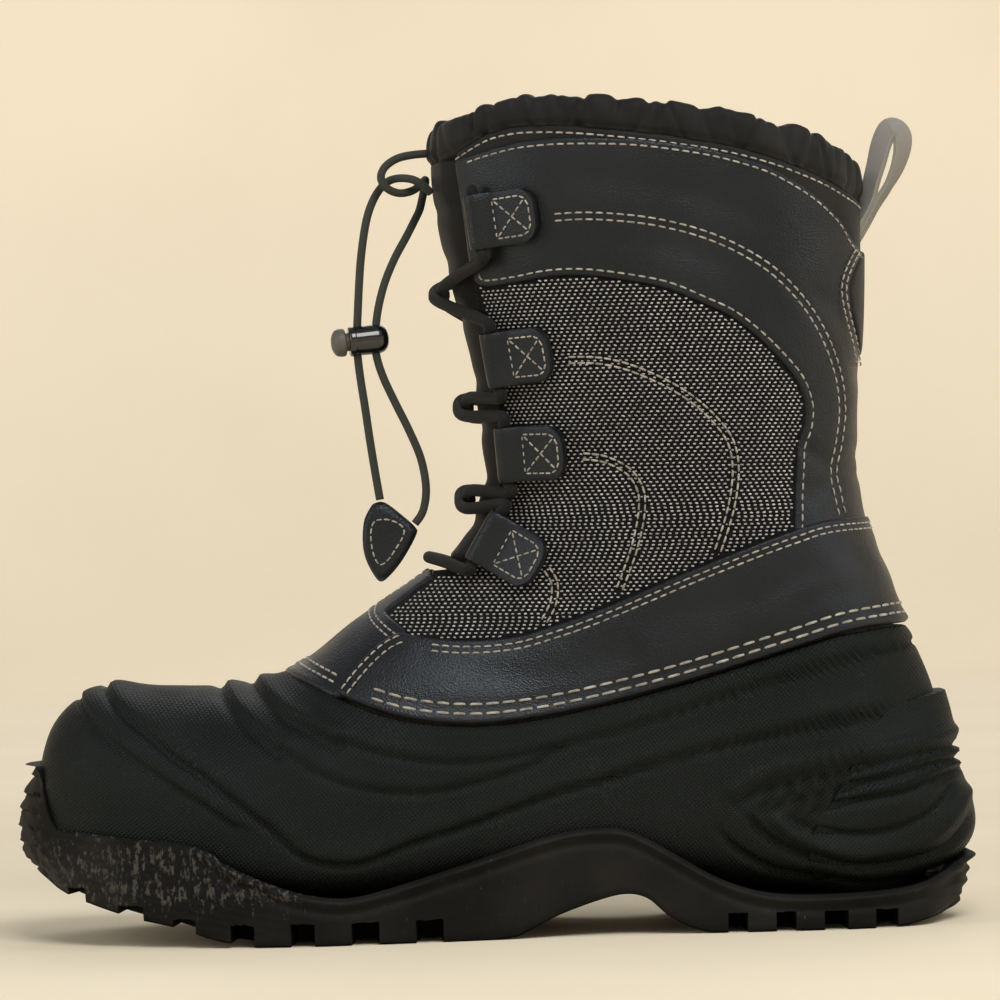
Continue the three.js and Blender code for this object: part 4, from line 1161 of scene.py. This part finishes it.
SHAFT_CREASES = [
    ([(6, 140), (24, 143), (44, 140)], 0.7, 4.0), ([(100, 158), (112, 150), (121, 153)], 0.9, 3.2),
    ([(104, 140), (114, 146), (122, 147)], 0.7, 2.6), ([(60, 226), (80, 214), (96, 196)], 0.45, 6.0),
    ([(20, 228), (50, 224), (74, 218)], 0.4, 5.0), ([(108, 206), (118, 196), (123, 180)], 0.6, 3.5),
    ([(30, 245), (60, 241), (90, 232)], 0.4, 4.5),
]


def creases(xz):
    return troughs(xz, SHAFT_CREASES)


def puff(xz, p=None):
    """Quilting: soft troughs along the sewn arcs."""
    total = np.full(len(xz), 0.45)
    for line in QUILT:
        total += trough(xz, beside(line, -1.0), 0.95, 2.6)
    return total + trough(xz, FABRIC_BACK, 0.5, 3.0) + 0.6 * creases(xz)


def leather_relief(xz, p=None):
    return creases(xz) + trough(xz, beside(LEATHER_MID, -1.1), 0.4, 1.7) + trough(xz, FABRIC_BACK, 0.2, 0.9)


def on_leather(xz):
    return LEATHER_OFF + leather_relief(xz)


def on_mudguard(xz):
    return MUDGUARD_OFF + mudguard_relief(xz)


MUDGUARD_CREASES = [
    ([(-20, 92), (0, 84), (24, 84), (44, 90)], 0.5, 5.0), ([(60, 104), (84, 108), (104, 116)], 0.45, 4.0),
    ([(100, 104), (118, 108), (136, 106)], 0.5, 3.4), ([(112, 124), (124, 122), (134, 116)], 0.5, 3.0),
]


def mudguard_relief(xz, p=None):
    total = trough(xz, raised(SHELL_TOP[3:], 4.5), 0.55, 2.6)
    return troughs(xz, MUDGUARD_CREASES, total + trough(xz, raised(MUDGUARD_TOP, -3.4), 0.3, 1.6))


LEATHER_OFF, VAMP_OFF, MUDGUARD_OFF, BAND_OFF, STRIP_OFF, FABRIC_OFF = 1.25, 1.2, 2.3, 0.3, 1.7, 0.15

panel("fabric_side", fabric_region, GROUND, FABRIC_OFF, -1.2, "woven_fabric", relief=puff, pitch=2.6,
      places=(7, LAST_SECTION))
panel("leather_shaft", leather_region, LEATHER, LEATHER_OFF, -0.6, "black_leather", relief=leather_relief,
      pitch=1.8, places=(10, LAST_SECTION))
panel("leather_vamp", vamp_region, LEATHER, VAMP_OFF, -0.6, "black_leather", pitch=1.4, places=(6, 14))
mudguard = panel("leather_mudguard", lambda xz, p: ring_distance(xz, MUDGUARD_RING), LEATHER,
                 MUDGUARD_OFF, 0.3, "black_leather", relief=mudguard_relief, pitch=1.8, places=(5, 20))
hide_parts("mudguard")
panel("nylon_band", band_region, NYLON, BAND_OFF, -1.2, "nylon", pitch=2.0, places=(18, LAST_SECTION))
panel("back_strip", lambda xz, p: ring_distance(xz, BACK_STRIP_RING), NYLON, STRIP_OFF, 0.2, "nylon",
      pitch=1.5, places=(14, 22), turns=(1.8, WHOLE_TURN - 1.8))
inner_lining = panel("lining_felt", lining_region, LINING, foot_or_shaft(-3.5, -1.3),
                     foot_or_shaft(-6.5, -4.0), "woven_fabric", pitch=5.0, places=(0.4, LAST_SECTION),
                     edge=0.5, levels=())
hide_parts("upper")

# ---------------------------------------------------------------------------------------------
# Weave: pale floats in offset rows
# ---------------------------------------------------------------------------------------------
FLOAT_PITCH = 2.1
ROW_PITCH = 1.2
FLOAT_LONG, FLOAT_WIDE, FLOAT_HIGH = 0.58, 0.36, 0.36


def weave_rows(side):
    """Places, normals and directions of the floats on one side."""
    places, normals, ways = [], [], []
    for row, z in enumerate(np.arange(94.5, 218, ROW_PITCH)):
        x = np.arange(-38, 108, 0.5)
        xz = np.column_stack([x, np.full(len(x), z)])
        p, normal = surface(x, xz[:, 1], side, FABRIC_OFF + puff(xz))
        true = np.abs(p[:, 0] - x) < 3
        p, normal = p[true], normal[true]
        travel = travelled(p)
        at = np.arange((row % 2) * FLOAT_PITCH / 2, travel[-1], FLOAT_PITCH) + rng.normal(0, 0.05)
        places.append(resample(at, travel, p))
        normals.append(unit(resample(at, travel, normal)))
        ways.append(unit(resample(at, travel, unit(np.gradient(p, axis=0)))))
    places, normals, ways = np.vstack(places), np.vstack(normals), np.vstack(ways)
    xz = places[:, [0, 2]]
    shown = fabric_region(xz, places) < -2.2
    shown &= ring_distance(xz, FABRIC_RING) < -2.8
    shown &= above(xz, MUDGUARD_TOP, 0.6) < 0
    for line in QUILT:
        for gap in (0.0, -2.0):
            shown &= line_distance(xz, beside(line, gap)) > 0.5
    return places[shown], normals[shown], ways[shown]


def floats(side):
    places, normals, ways = weave_rows(side)
    count = len(places)
    across = np.cross(normals, ways)
    tilt = rng.normal(0.0, 0.12, count)[:, None]
    ways, across = ways * np.cos(tilt) + across * np.sin(tilt), across * np.cos(tilt) - ways * np.sin(tilt)
    stations = [(-1, 0), (-0.72, 0.75), (0, 1), (0.72, 0.75), (1, 0)]
    angles = np.linspace(-0.35, np.pi + 0.35, 4)
    size = (1 + rng.normal(0, 0.07, count))[:, None]
    rows = []
    for a, s in stations:
        for angle in (angles if s else [np.pi / 2]):
            lift = FLOAT_HIGH * (s * math.sin(angle) if s else -0.25)
            rows.append(places + ways * (a * FLOAT_LONG * size) + across * (FLOAT_WIDE * s * math.cos(angle))
                        + normals * lift)
    points = np.stack(rows, 1).reshape(-1, 3)
    one = [[0, 1 + k, 2 + k] for k in range(3)]
    for b in (1, 5):
        one += [[b + k, b + k + 4, b + k + 5] for k in range(3)]
        one += [[b + k, b + k + 5, b + k + 1] for k in range(3)]
    one += [[9 + k, 13, 10 + k] for k in range(3)]
    one += [[0, 4, 1], [1, 4, 8], [1, 8, 5], [5, 8, 12], [5, 12, 9], [9, 12, 13]]
    faces = (np.arange(count)[:, None, None] * 14 + np.array(one)[None]).reshape(-1, 3)
    if side > 0:
        faces = faces[:, ::-1]
    return points, faces.tolist()


for name, side in (("outer", -1), ("inner", 1)):
    piece("weave_" + name, [floats(side)], YARN, "woven_fabric")


# ---------------------------------------------------------------------------------------------
# Seams
# ---------------------------------------------------------------------------------------------
piece("seam_panels",
      seam(FABRIC_BACK, on_leather)
      + seam(LEATHER_MID, on_leather, gaps=(0.0, -2.2))
      + seam(LEATHER_TOP[2:], on_leather)
      + seam(raised([*COLLAR_SEAM[2:-1], (125.5, 236.2)], -1.6), BAND_OFF),
      THREAD, "woven_fabric")
piece("seam_back_strip", seam(BACK_STRIP[1:], STRIP_OFF, 3.0, 0.28, gaps=(-1.2, -2.8)), THREAD, "nylon")
piece("seam_quilting", [s for line in QUILT for s in seam(
    line, lambda xz: FABRIC_OFF + puff(xz) + 0.2, 3.0, 0.37, gaps=(0.0, -2.0), cover=0.82)],
      THREAD, "woven_fabric")
piece("seam_mudguard",
      seam(raised(MUDGUARD_TOP[1:-1], -2.5), on_mudguard, gaps=(0.0, -1.9))
      + seam(raised([*SHELL_TOP[4:-1], (134.5, 97.4)], 3.0), on_mudguard, 5.4, 0.46,
             gaps=(0.0, 3.0), cover=0.8),
      THREAD, "black_leather")
piece("seam_vamp",
      seam(VAMP_EDGE[2:], MUDGUARD_OFF, 3.0, 0.32, gaps=(-1.6, -3.8))
      + seam(FABRIC_TIP, VAMP_OFF, 3.0, 0.32, gaps=(1.2, 3.2))
      + seam([(-66, 89), (-58, 85.6), (-51.4, 82.4)], VAMP_OFF, 3.8, 0.42, gaps=(0.4, 2.8)),
      THREAD, "black_leather")

# ---------------------------------------------------------------------------------------------
# Tongue
# ---------------------------------------------------------------------------------------------
TONGUE_RING = np.array([(-60, 122.5), (-8, 122.5), (4, 132), (14, 150), (18, 190), (16, 225), (10, 251),
                        (-6, 255), (-60, 252)], float)
THROAT_BY_HEIGHT = [(z, x) for x, z in THROAT]
TONGUE_FOLDS = [([(-40, 132), (20, 136)], 0.9, 3.0), ([(-40, 151), (20, 147)], 0.7, 2.6),
                ([(-40, 164), (20, 167)], 0.8, 3.0), ([(-40, 183), (20, 180)], 0.7, 3.2),
                ([(-40, 200), (20, 204)], 0.6, 3.0), ([(-40, 222), (20, 219)], 0.8, 3.4),
                ([(-40, 236), (20, 239)], 0.6, 2.6)]


def under_quarters(xz):
    """0 in the open throat, 1 under the quarters."""
    return step(-5.5, 0.5, xz[:, 0] - height_on(THROAT_BY_HEIGHT, xz[:, 1]))


def tongue_relief(xz, p):
    total = troughs(xz, TONGUE_FOLDS) + (0.5 * bell(p[:, 1], 9) - 0.5 * bell(np.abs(p[:, 1]) - 21, 1.2))
    return total * (1 - under_quarters(xz))


tongue = panel(
    "tongue_padded", lambda xz, p: np.maximum(ring_distance(xz, TONGUE_RING), np.abs(p[:, 1]) - 31), NYLON,
    lambda xz, p: -0.3 - 4.2 * under_quarters(xz), lambda xz, p: -5.0 - 4.3 * under_quarters(xz), "nylon",
    relief=tongue_relief, pitch=1.9, places=(9, LAST_SECTION), turns=(-1.35, 1.35), edge=2.0,
    levels=(-2.0, -1.0, -0.4),
)
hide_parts("tongue")

# ---------------------------------------------------------------------------------------------
# Gathered collar
# ---------------------------------------------------------------------------------------------
COLLAR_AROUND, COLLAR_ROUND = 800, 36
COLLAR_HEIGHT = 16
FOLD_PITCH = 7.2
COLLAR_THICK = (-7.0, 1.2)
HARD_CREASES = [(33, 1.5, 1.6, 0.12), (59, 0.9, 2.2, -0.1), (66, 0.8, 1.8, 0.2), (100, 1.1, 2.0, 0.25),
                (84, 0.6, 2.4, 0.1), (46, 0.6, 2.0, -0.15), (14, 0.9, 1.5, -0.3), (6, 0.8, 1.3, -0.35),
                (-2, 0.7, 1.2, -0.4), (21, 0.6, 1.6, -0.2), (112, 0.7, 1.6, 0.3)]


def place_at_height(line, turn):
    """Where the last meets a side-view line, at each turn."""
    low, high = np.full(turn.shape, 18.0), np.full(turn.shape, float(LAST_SECTION))
    for _ in range(28):
        mid = (low + high) / 2
        p = last_point(mid, turn)
        over = p[:, 2] > height_on(line, p[:, 0])
        low, high = np.where(over, low, mid), np.where(over, mid, high)
    return low


def build_collar():
    turn = np.linspace(0, 2 * np.pi, COLLAR_AROUND, endpoint=False)
    low = place_at_height(raised(COLLAR_SEAM, 0.2), turn)
    high = place_at_height(raised(COLLAR_RIM, -0.3), turn)
    travel = travelled(last_point(high, turn))
    # place, depth, width, lean and height of each fold
    folds = [(s + rng.uniform(-2.6, 2.6), rng.uniform(0.4, 1.3), rng.uniform(0.8, 1.9),
              rng.uniform(-0.4, 0.4), rng.uniform(0, 1)) for s in np.arange(2, travel[-1], FOLD_PITCH)]
    lumps = sum(a * np.sin(2 * np.pi * n * travel / travel[-1] + rng.uniform(0, 6.28))
                for n, a in ((11, 0.35), (17, 0.4), (29, 0.35), (43, 0.22)))

    def from_fold(s, lean, t):
        shift = lean * (t - 0.5) * COLLAR_HEIGHT
        return (travel - s + shift + travel[-1] / 2) % travel[-1] - travel[-1] / 2

    rows = []
    for k in range(COLLAR_ROUND):
        angle = 2 * np.pi * k / COLLAR_ROUND
        u, v = -math.cos(angle), math.sin(angle)
        u, v = math.copysign(abs(u) ** 0.62, u), math.copysign(abs(v) ** 0.62, v)
        t = 0.5 + 0.5 * u
        place = low + (high - low) * t
        off = np.full(COLLAR_AROUND, np.mean(COLLAR_THICK) + v * (COLLAR_THICK[1] - COLLAR_THICK[0]) / 2)
        base = last_point(place, turn)
        outside = v > -0.2
        for s, depth, width, lean, reach in folds:
            fade = 1 - 0.55 * abs(t - reach)
            off = off - depth * fade * bell(from_fold(s, lean, t), width) * (1 if outside else 0.5)
        if outside:
            for x, depth, width, lean in HARD_CREASES:
                gap = base[:, 0] - x - lean * (t - 0.5) * COLLAR_HEIGHT
                off = off - depth * bell(gap, width) + 0.5 * depth * bell(gap - 2.2 * width, width)
        off = off + 0.45 * np.sin(travel * 0.23 + 3 * t) * (1 if outside else 0.3)
        sag = lumps * t
        for s, depth, width, lean, reach in folds:
            sag = sag - 0.75 * depth * t * bell(from_fold(s, lean, t), width)
        if outside:
            off = off - 0.7 * bell(t - 0.16, 0.09)
        rows.append(base + last_normal(place, turn) * off[:, None] + sag[:, None] * np.array([0, 0, 1.0]))
    return np.vstack(rows), quads(COLLAR_ROUND, COLLAR_AROUND, wrap_rows=True, wrap_cols=True)


collar = piece("collar_gathered", [build_collar()], NYLON, "nylon", "collar")

# ---------------------------------------------------------------------------------------------
# Insole
# ---------------------------------------------------------------------------------------------
INSOLE_TOP = [(-175, 33), (-140, 30), (-110, 26), (-80, 24), (-40, 24), (0, 27), (40, 30), (90, 31),
              (175, 31)]


def build_insole():
    x = np.linspace(-137, 128, 170)
    z = height_on(smooth_line(INSOLE_TOP, 5), x)
    ends = np.sqrt(np.clip(1 - np.clip((x[0] + 16 - x) / 16, 0, 1) ** 2, 0, 1))
    ends *= np.sqrt(np.clip(1 - np.clip((x - x[-1] + 22) / 22, 0, 1) ** 2, 0, 1))
    sides = [surface(x, z, side, np.full(len(x), -6.9))[0][:, 1] for side in (-1, 1)]
    middle = (sides[0] + sides[1]) / 2
    half = (sides[1] - sides[0]) / 2 * ends + 0.2
    rows = []
    for w, dz in [(-1, -3.6), (-1, -0.9), (-0.985, -0.15)] + [(w, 0.12 * math.cos(w * 1.5)) for w in
                                                           np.linspace(-0.95, 0.95, 24)] + [
            (0.985, -0.15), (1, -0.9), (1, -3.6)]:
        rows.append(np.column_stack([x, middle + w * half, z + dz]))
    return np.vstack(rows), quads(len(rows), len(x), wrap_rows=True) + column_caps(len(rows), len(x))


piece("footbed", [build_insole()], FELT, "insole_felt", "insole")

# ---------------------------------------------------------------------------------------------
# Lace loops
# ---------------------------------------------------------------------------------------------
LACE_D = 4.0
LACE_LOOPS = [(8.5, 233, -5, 0.35), (12.8, 188.4, -3, 0.35), (16.2, 156.8, 1, 0.4), (8.2, 123.8, 32, 1.3)]
LOOP_LENGTH, LOOP_HEIGHT, LOOP_THICK, TUNNEL = 25, 18, 6.4, 4.7
OVERLAY_LIFT = 0.9
STRAP = 1.25


def loop_frame(loop, side):
    x, z, lean, lift = loop
    point, normal = surface([x], [z], side, np.array([lift + OVERLAY_LIFT]))
    point, normal = point[0], normal[0]
    rise = np.array([math.sin(math.radians(lean)), 0, math.cos(math.radians(lean))])
    rise = unit(rise - normal * (rise @ normal))
    forward = unit(np.cross(rise, normal) * side)
    return point, normal, rise, forward


def loop_arrays(loop, side):
    """A strap folded round the lace: two layers with a round back end and a tunnel in front."""
    point, normal, rise, forward = loop_frame(loop, side)
    nose = LOOP_LENGTH / 2
    eye = nose - 1 - TUNNEL / 2
    ring = TUNNEL / 2 + STRAP / 2 - 0.15
    line = [(a, 0.65) for a in np.linspace(-nose, eye - 3.4, 14)] + [(eye - 1.6, 0.58)]
    line += [(eye + ring * math.cos(a), LOOP_THICK / 2 + ring * math.sin(a))
             for a in np.radians(np.linspace(-80, 118, 20))]
    line += [(eye - 3.2, 4.3), (eye - 5.0, 2.9), (eye - 6.6, 2.25)]
    line += [(a, 2.05) for a in np.linspace(eye - 8, -nose, 12)]
    line = np.array(line)
    across = unit(np.gradient(line, axis=0))
    out = np.column_stack([across[:, 1], -across[:, 0]])
    stations = np.array([0, 0.25, 0.5, 0.7, 0.85, 0.94, 0.985, 1])
    stations = np.concatenate([-stations[:0:-1], stations])
    rows = []
    for face, keep in ((1, 1), (-1, -1)):
        for s in stations[::keep]:
            v = s * LOOP_HEIGHT / 2
            thin = STRAP / 2 * (1 - 0.75 * abs(s) ** 14)
            corner = max(0.0, abs(v) - (LOOP_HEIGHT / 2 - 6.5))
            back = -nose + 6.5 - math.sqrt(max(0.0, 6.5 ** 2 - corner ** 2))
            a = line + out * (face * thin)
            a = np.column_stack([np.maximum(a[:, 0], back + 0.1 * face), a[:, 1]])
            rows.append(point + forward * a[:, :1] + normal * a[:, 1:] + rise * v)
    n = len(line)
    faces = quads(len(rows), n, wrap_rows=True)
    if side > 0:
        faces = [f[::-1] for f in faces]
    half = len(stations)
    strips = []
    for end, flip in ((0, side > 0), (n - 1, side < 0)):
        for k in range(half - 1):
            quad = [row * n + end for row in (k, k + 1, 2 * half - 2 - k, 2 * half - 1 - k)]
            strips.append(quad[::-1] if flip else quad)
    return np.vstack(rows), faces + strips


def loop_stitches(loop, side):
    point, normal, rise, forward = loop_frame(loop, side)
    a0, a1, v = -LOOP_LENGTH / 2 + 1.9, 2.6, LOOP_HEIGHT / 2 - 2.6
    upper = [(a0 + 3.2, v), (a0 + 1.2, v - 0.9), (a0, v - 3.2)]
    round_back = [*upper, (a0, 0), *[(a, -h) for a, h in upper[::-1]]]
    lines = [
        [(a1, -v), (a1, v)], [(a1, v), (a0 + 3.2, v)], round_back, [(a0 + 3.2, -v), (a1, -v)],
        [(a0 + 1.4, v - 1.4), (a1 - 0.4, -v + 0.4)], [(a0 + 1.4, -v + 1.4), (a1 - 0.4, v - 0.4)],
    ]
    runs = []
    for line in lines:
        q = even(np.array(line, float), 0.4)
        p = point + forward * q[:, :1] + rise * q[:, 1:] + normal * (2.05 + STRAP / 2 + 0.02)
        runs += stitches_on(p, np.tile(normal, (len(p), 1)), 2.5, 0.3, 0.72)
    return runs


loop_threads = []
for name, side in (("lateral", -1), ("medial", 1)):
    for k, loop in enumerate(LACE_LOOPS):
        piece(f"strap_loop_{name}_{k + 1}", [loop_arrays(loop, side)], LEATHER, "black_leather",
              f"lace_loop_{name}_{k + 1}", sharp=60)
        loop_threads += loop_stitches(loop, side)
piece("seam_loops", loop_threads, THREAD, "black_leather")

# ---------------------------------------------------------------------------------------------
# Lace: one run from the top loop of one side, down through every loop, and up the other side
# ---------------------------------------------------------------------------------------------
CROSSINGS = [(210, -14.4), (172.5, -7.4), (142, -7.6)]
LACE_OVER, LACE_UNDER = 1.3, -1.9


def mouth(loop, side, end, out, lift=0.0):
    point, normal, rise, forward = loop_frame(loop, side)
    return (point + forward * (LOOP_LENGTH / 2 - 1 - TUNNEL / 2) + normal * (LOOP_THICK / 2 + lift)
            + rise * (end * (LOOP_HEIGHT / 2 + out)))


def through(loop, side, way):
    """Straight through a loop's tunnel, upwards where way is 1 and downwards where it is -1."""
    return [mouth(loop, side, end, 0) for end in (-way, 0, way)]


def crossing(k, side, way):
    """Across the tongue from the loop on one side to the next one on the other, and through it."""
    z, x = CROSSINGS[k]
    start, end = LACE_LOOPS[k:k + 2][::-way]
    over = LACE_UNDER if (k % 2 == 1) == (way < 0) else LACE_OVER
    return [mouth(start, side, way, 3.6, 0.5), np.array([x + 1.4 + over / 2, side * 10, z - 3 * way]),
            np.array([x + over, 0, z]), np.array([x + 1.4 + over / 2, -side * 10, z + 3 * way]),
            mouth(end, -side, -way, 3.6, 0.5), *through(end, -side, way)]


def build_lace():
    top, bottom, side = LACE_LOOPS[0], LACE_LOOPS[-1], -1
    route = [mouth(top, side, 1, 3.2), *through(top, side, -1)]
    for k in range(len(CROSSINGS)):
        route += crossing(k, side, -1)
        side = -side
    route += [mouth(bottom, side, -1, 3.2, 0.8), np.array([-15, side * 13, 121.6]),
              np.array([-20.4, 0, 123.2]), np.array([-15, -side * 13, 121.6]),
              mouth(bottom, -side, -1, 3.2, 0.8)]
    side = -side
    route += through(bottom, side, 1)
    for k in range(len(CROSSINGS))[::-1]:
        route += crossing(k, side, 1)
        side = -side
    route.append(mouth(top, side, 1, 3.2))
    path = even(smooth_line(np.array(route), 8), 0.9)
    radius = np.full(len(path), LACE_D / 2)
    radius[:3] = radius[-3:][::-1] = LACE_D / 2 * np.array([0.55, 0.85, 0.97])
    return tube_arrays(path, radius, 16)


piece("lace", [build_lace()], LACE, "lace_cord",
      "lace_crossing_1", "lace_crossing_2", "lace_crossing_3", "lace_bar")

# ---------------------------------------------------------------------------------------------
# Pull loop
# ---------------------------------------------------------------------------------------------
PULL_ROUTE = [(123.5, 229), (126.4, 233.8), (128.4, 238.6), (129.8, 244), (131.6, 250), (133.6, 257),
              (136.4, 261.8), (139.6, 260.6), (140.4, 256), (138.6, 249), (135, 242), (131, 236),
              (127.4, 229.5), (122.5, 221.5)]
PULL_WIDTH, PULL_THICK = 12, 1.5


def build_pull_loop():
    xz = even(smooth_line(PULL_ROUTE, 8), 0.7)
    travel = travelled(xz)
    turn = np.radians(np.interp(travel / travel[-1], [0, 0.3, 0.5, 0.7, 1], [12, 24, 32, 12, 8]))
    tangent = unit(np.gradient(xz, axis=0))
    way = np.column_stack([tangent[:, 0], np.zeros(len(xz)), tangent[:, 1]])
    flat = np.column_stack([-tangent[:, 1], np.zeros(len(xz)), tangent[:, 0]])
    wide = np.column_stack([np.zeros(len(xz)), np.ones(len(xz)), np.zeros(len(xz))])
    across = wide * np.cos(turn)[:, None] + flat * np.sin(turn)[:, None]
    out = unit(np.cross(way, across))
    centre = np.column_stack([xz[:, 0], np.zeros(len(xz)), xz[:, 1]])
    rows, v = [], []
    corner = [(-1, -0.5), (-0.99, -0.9), (-0.93, -1)] + [(s, -1) for s in np.linspace(-0.8, 0.8, 9)] + [
        (0.93, -1), (0.99, -0.9), (1, -0.5)]
    loop = corner + [(s, -t) for s, t in corner[::-1]]
    for s, t in loop:
        rows.append(centre + across * (s * PULL_WIDTH / 2) + out * (t * PULL_THICK / 2))
        v.append((s + 1) / 2 * PULL_WIDTH)
    uv = np.stack([np.tile(travel, (len(loop), 1)), np.repeat(np.array(v)[:, None], len(xz), 1)], -1)
    uv = uv / PULL_WIDTH
    faces = quads(len(rows), len(xz), wrap_rows=True) + column_caps(len(rows), len(xz))
    return np.vstack(rows), faces, uv.reshape(-1, 2)


piece("pull_strap", [build_pull_loop()], WEBBING, "webbing", "pull_loop", sharp=50)
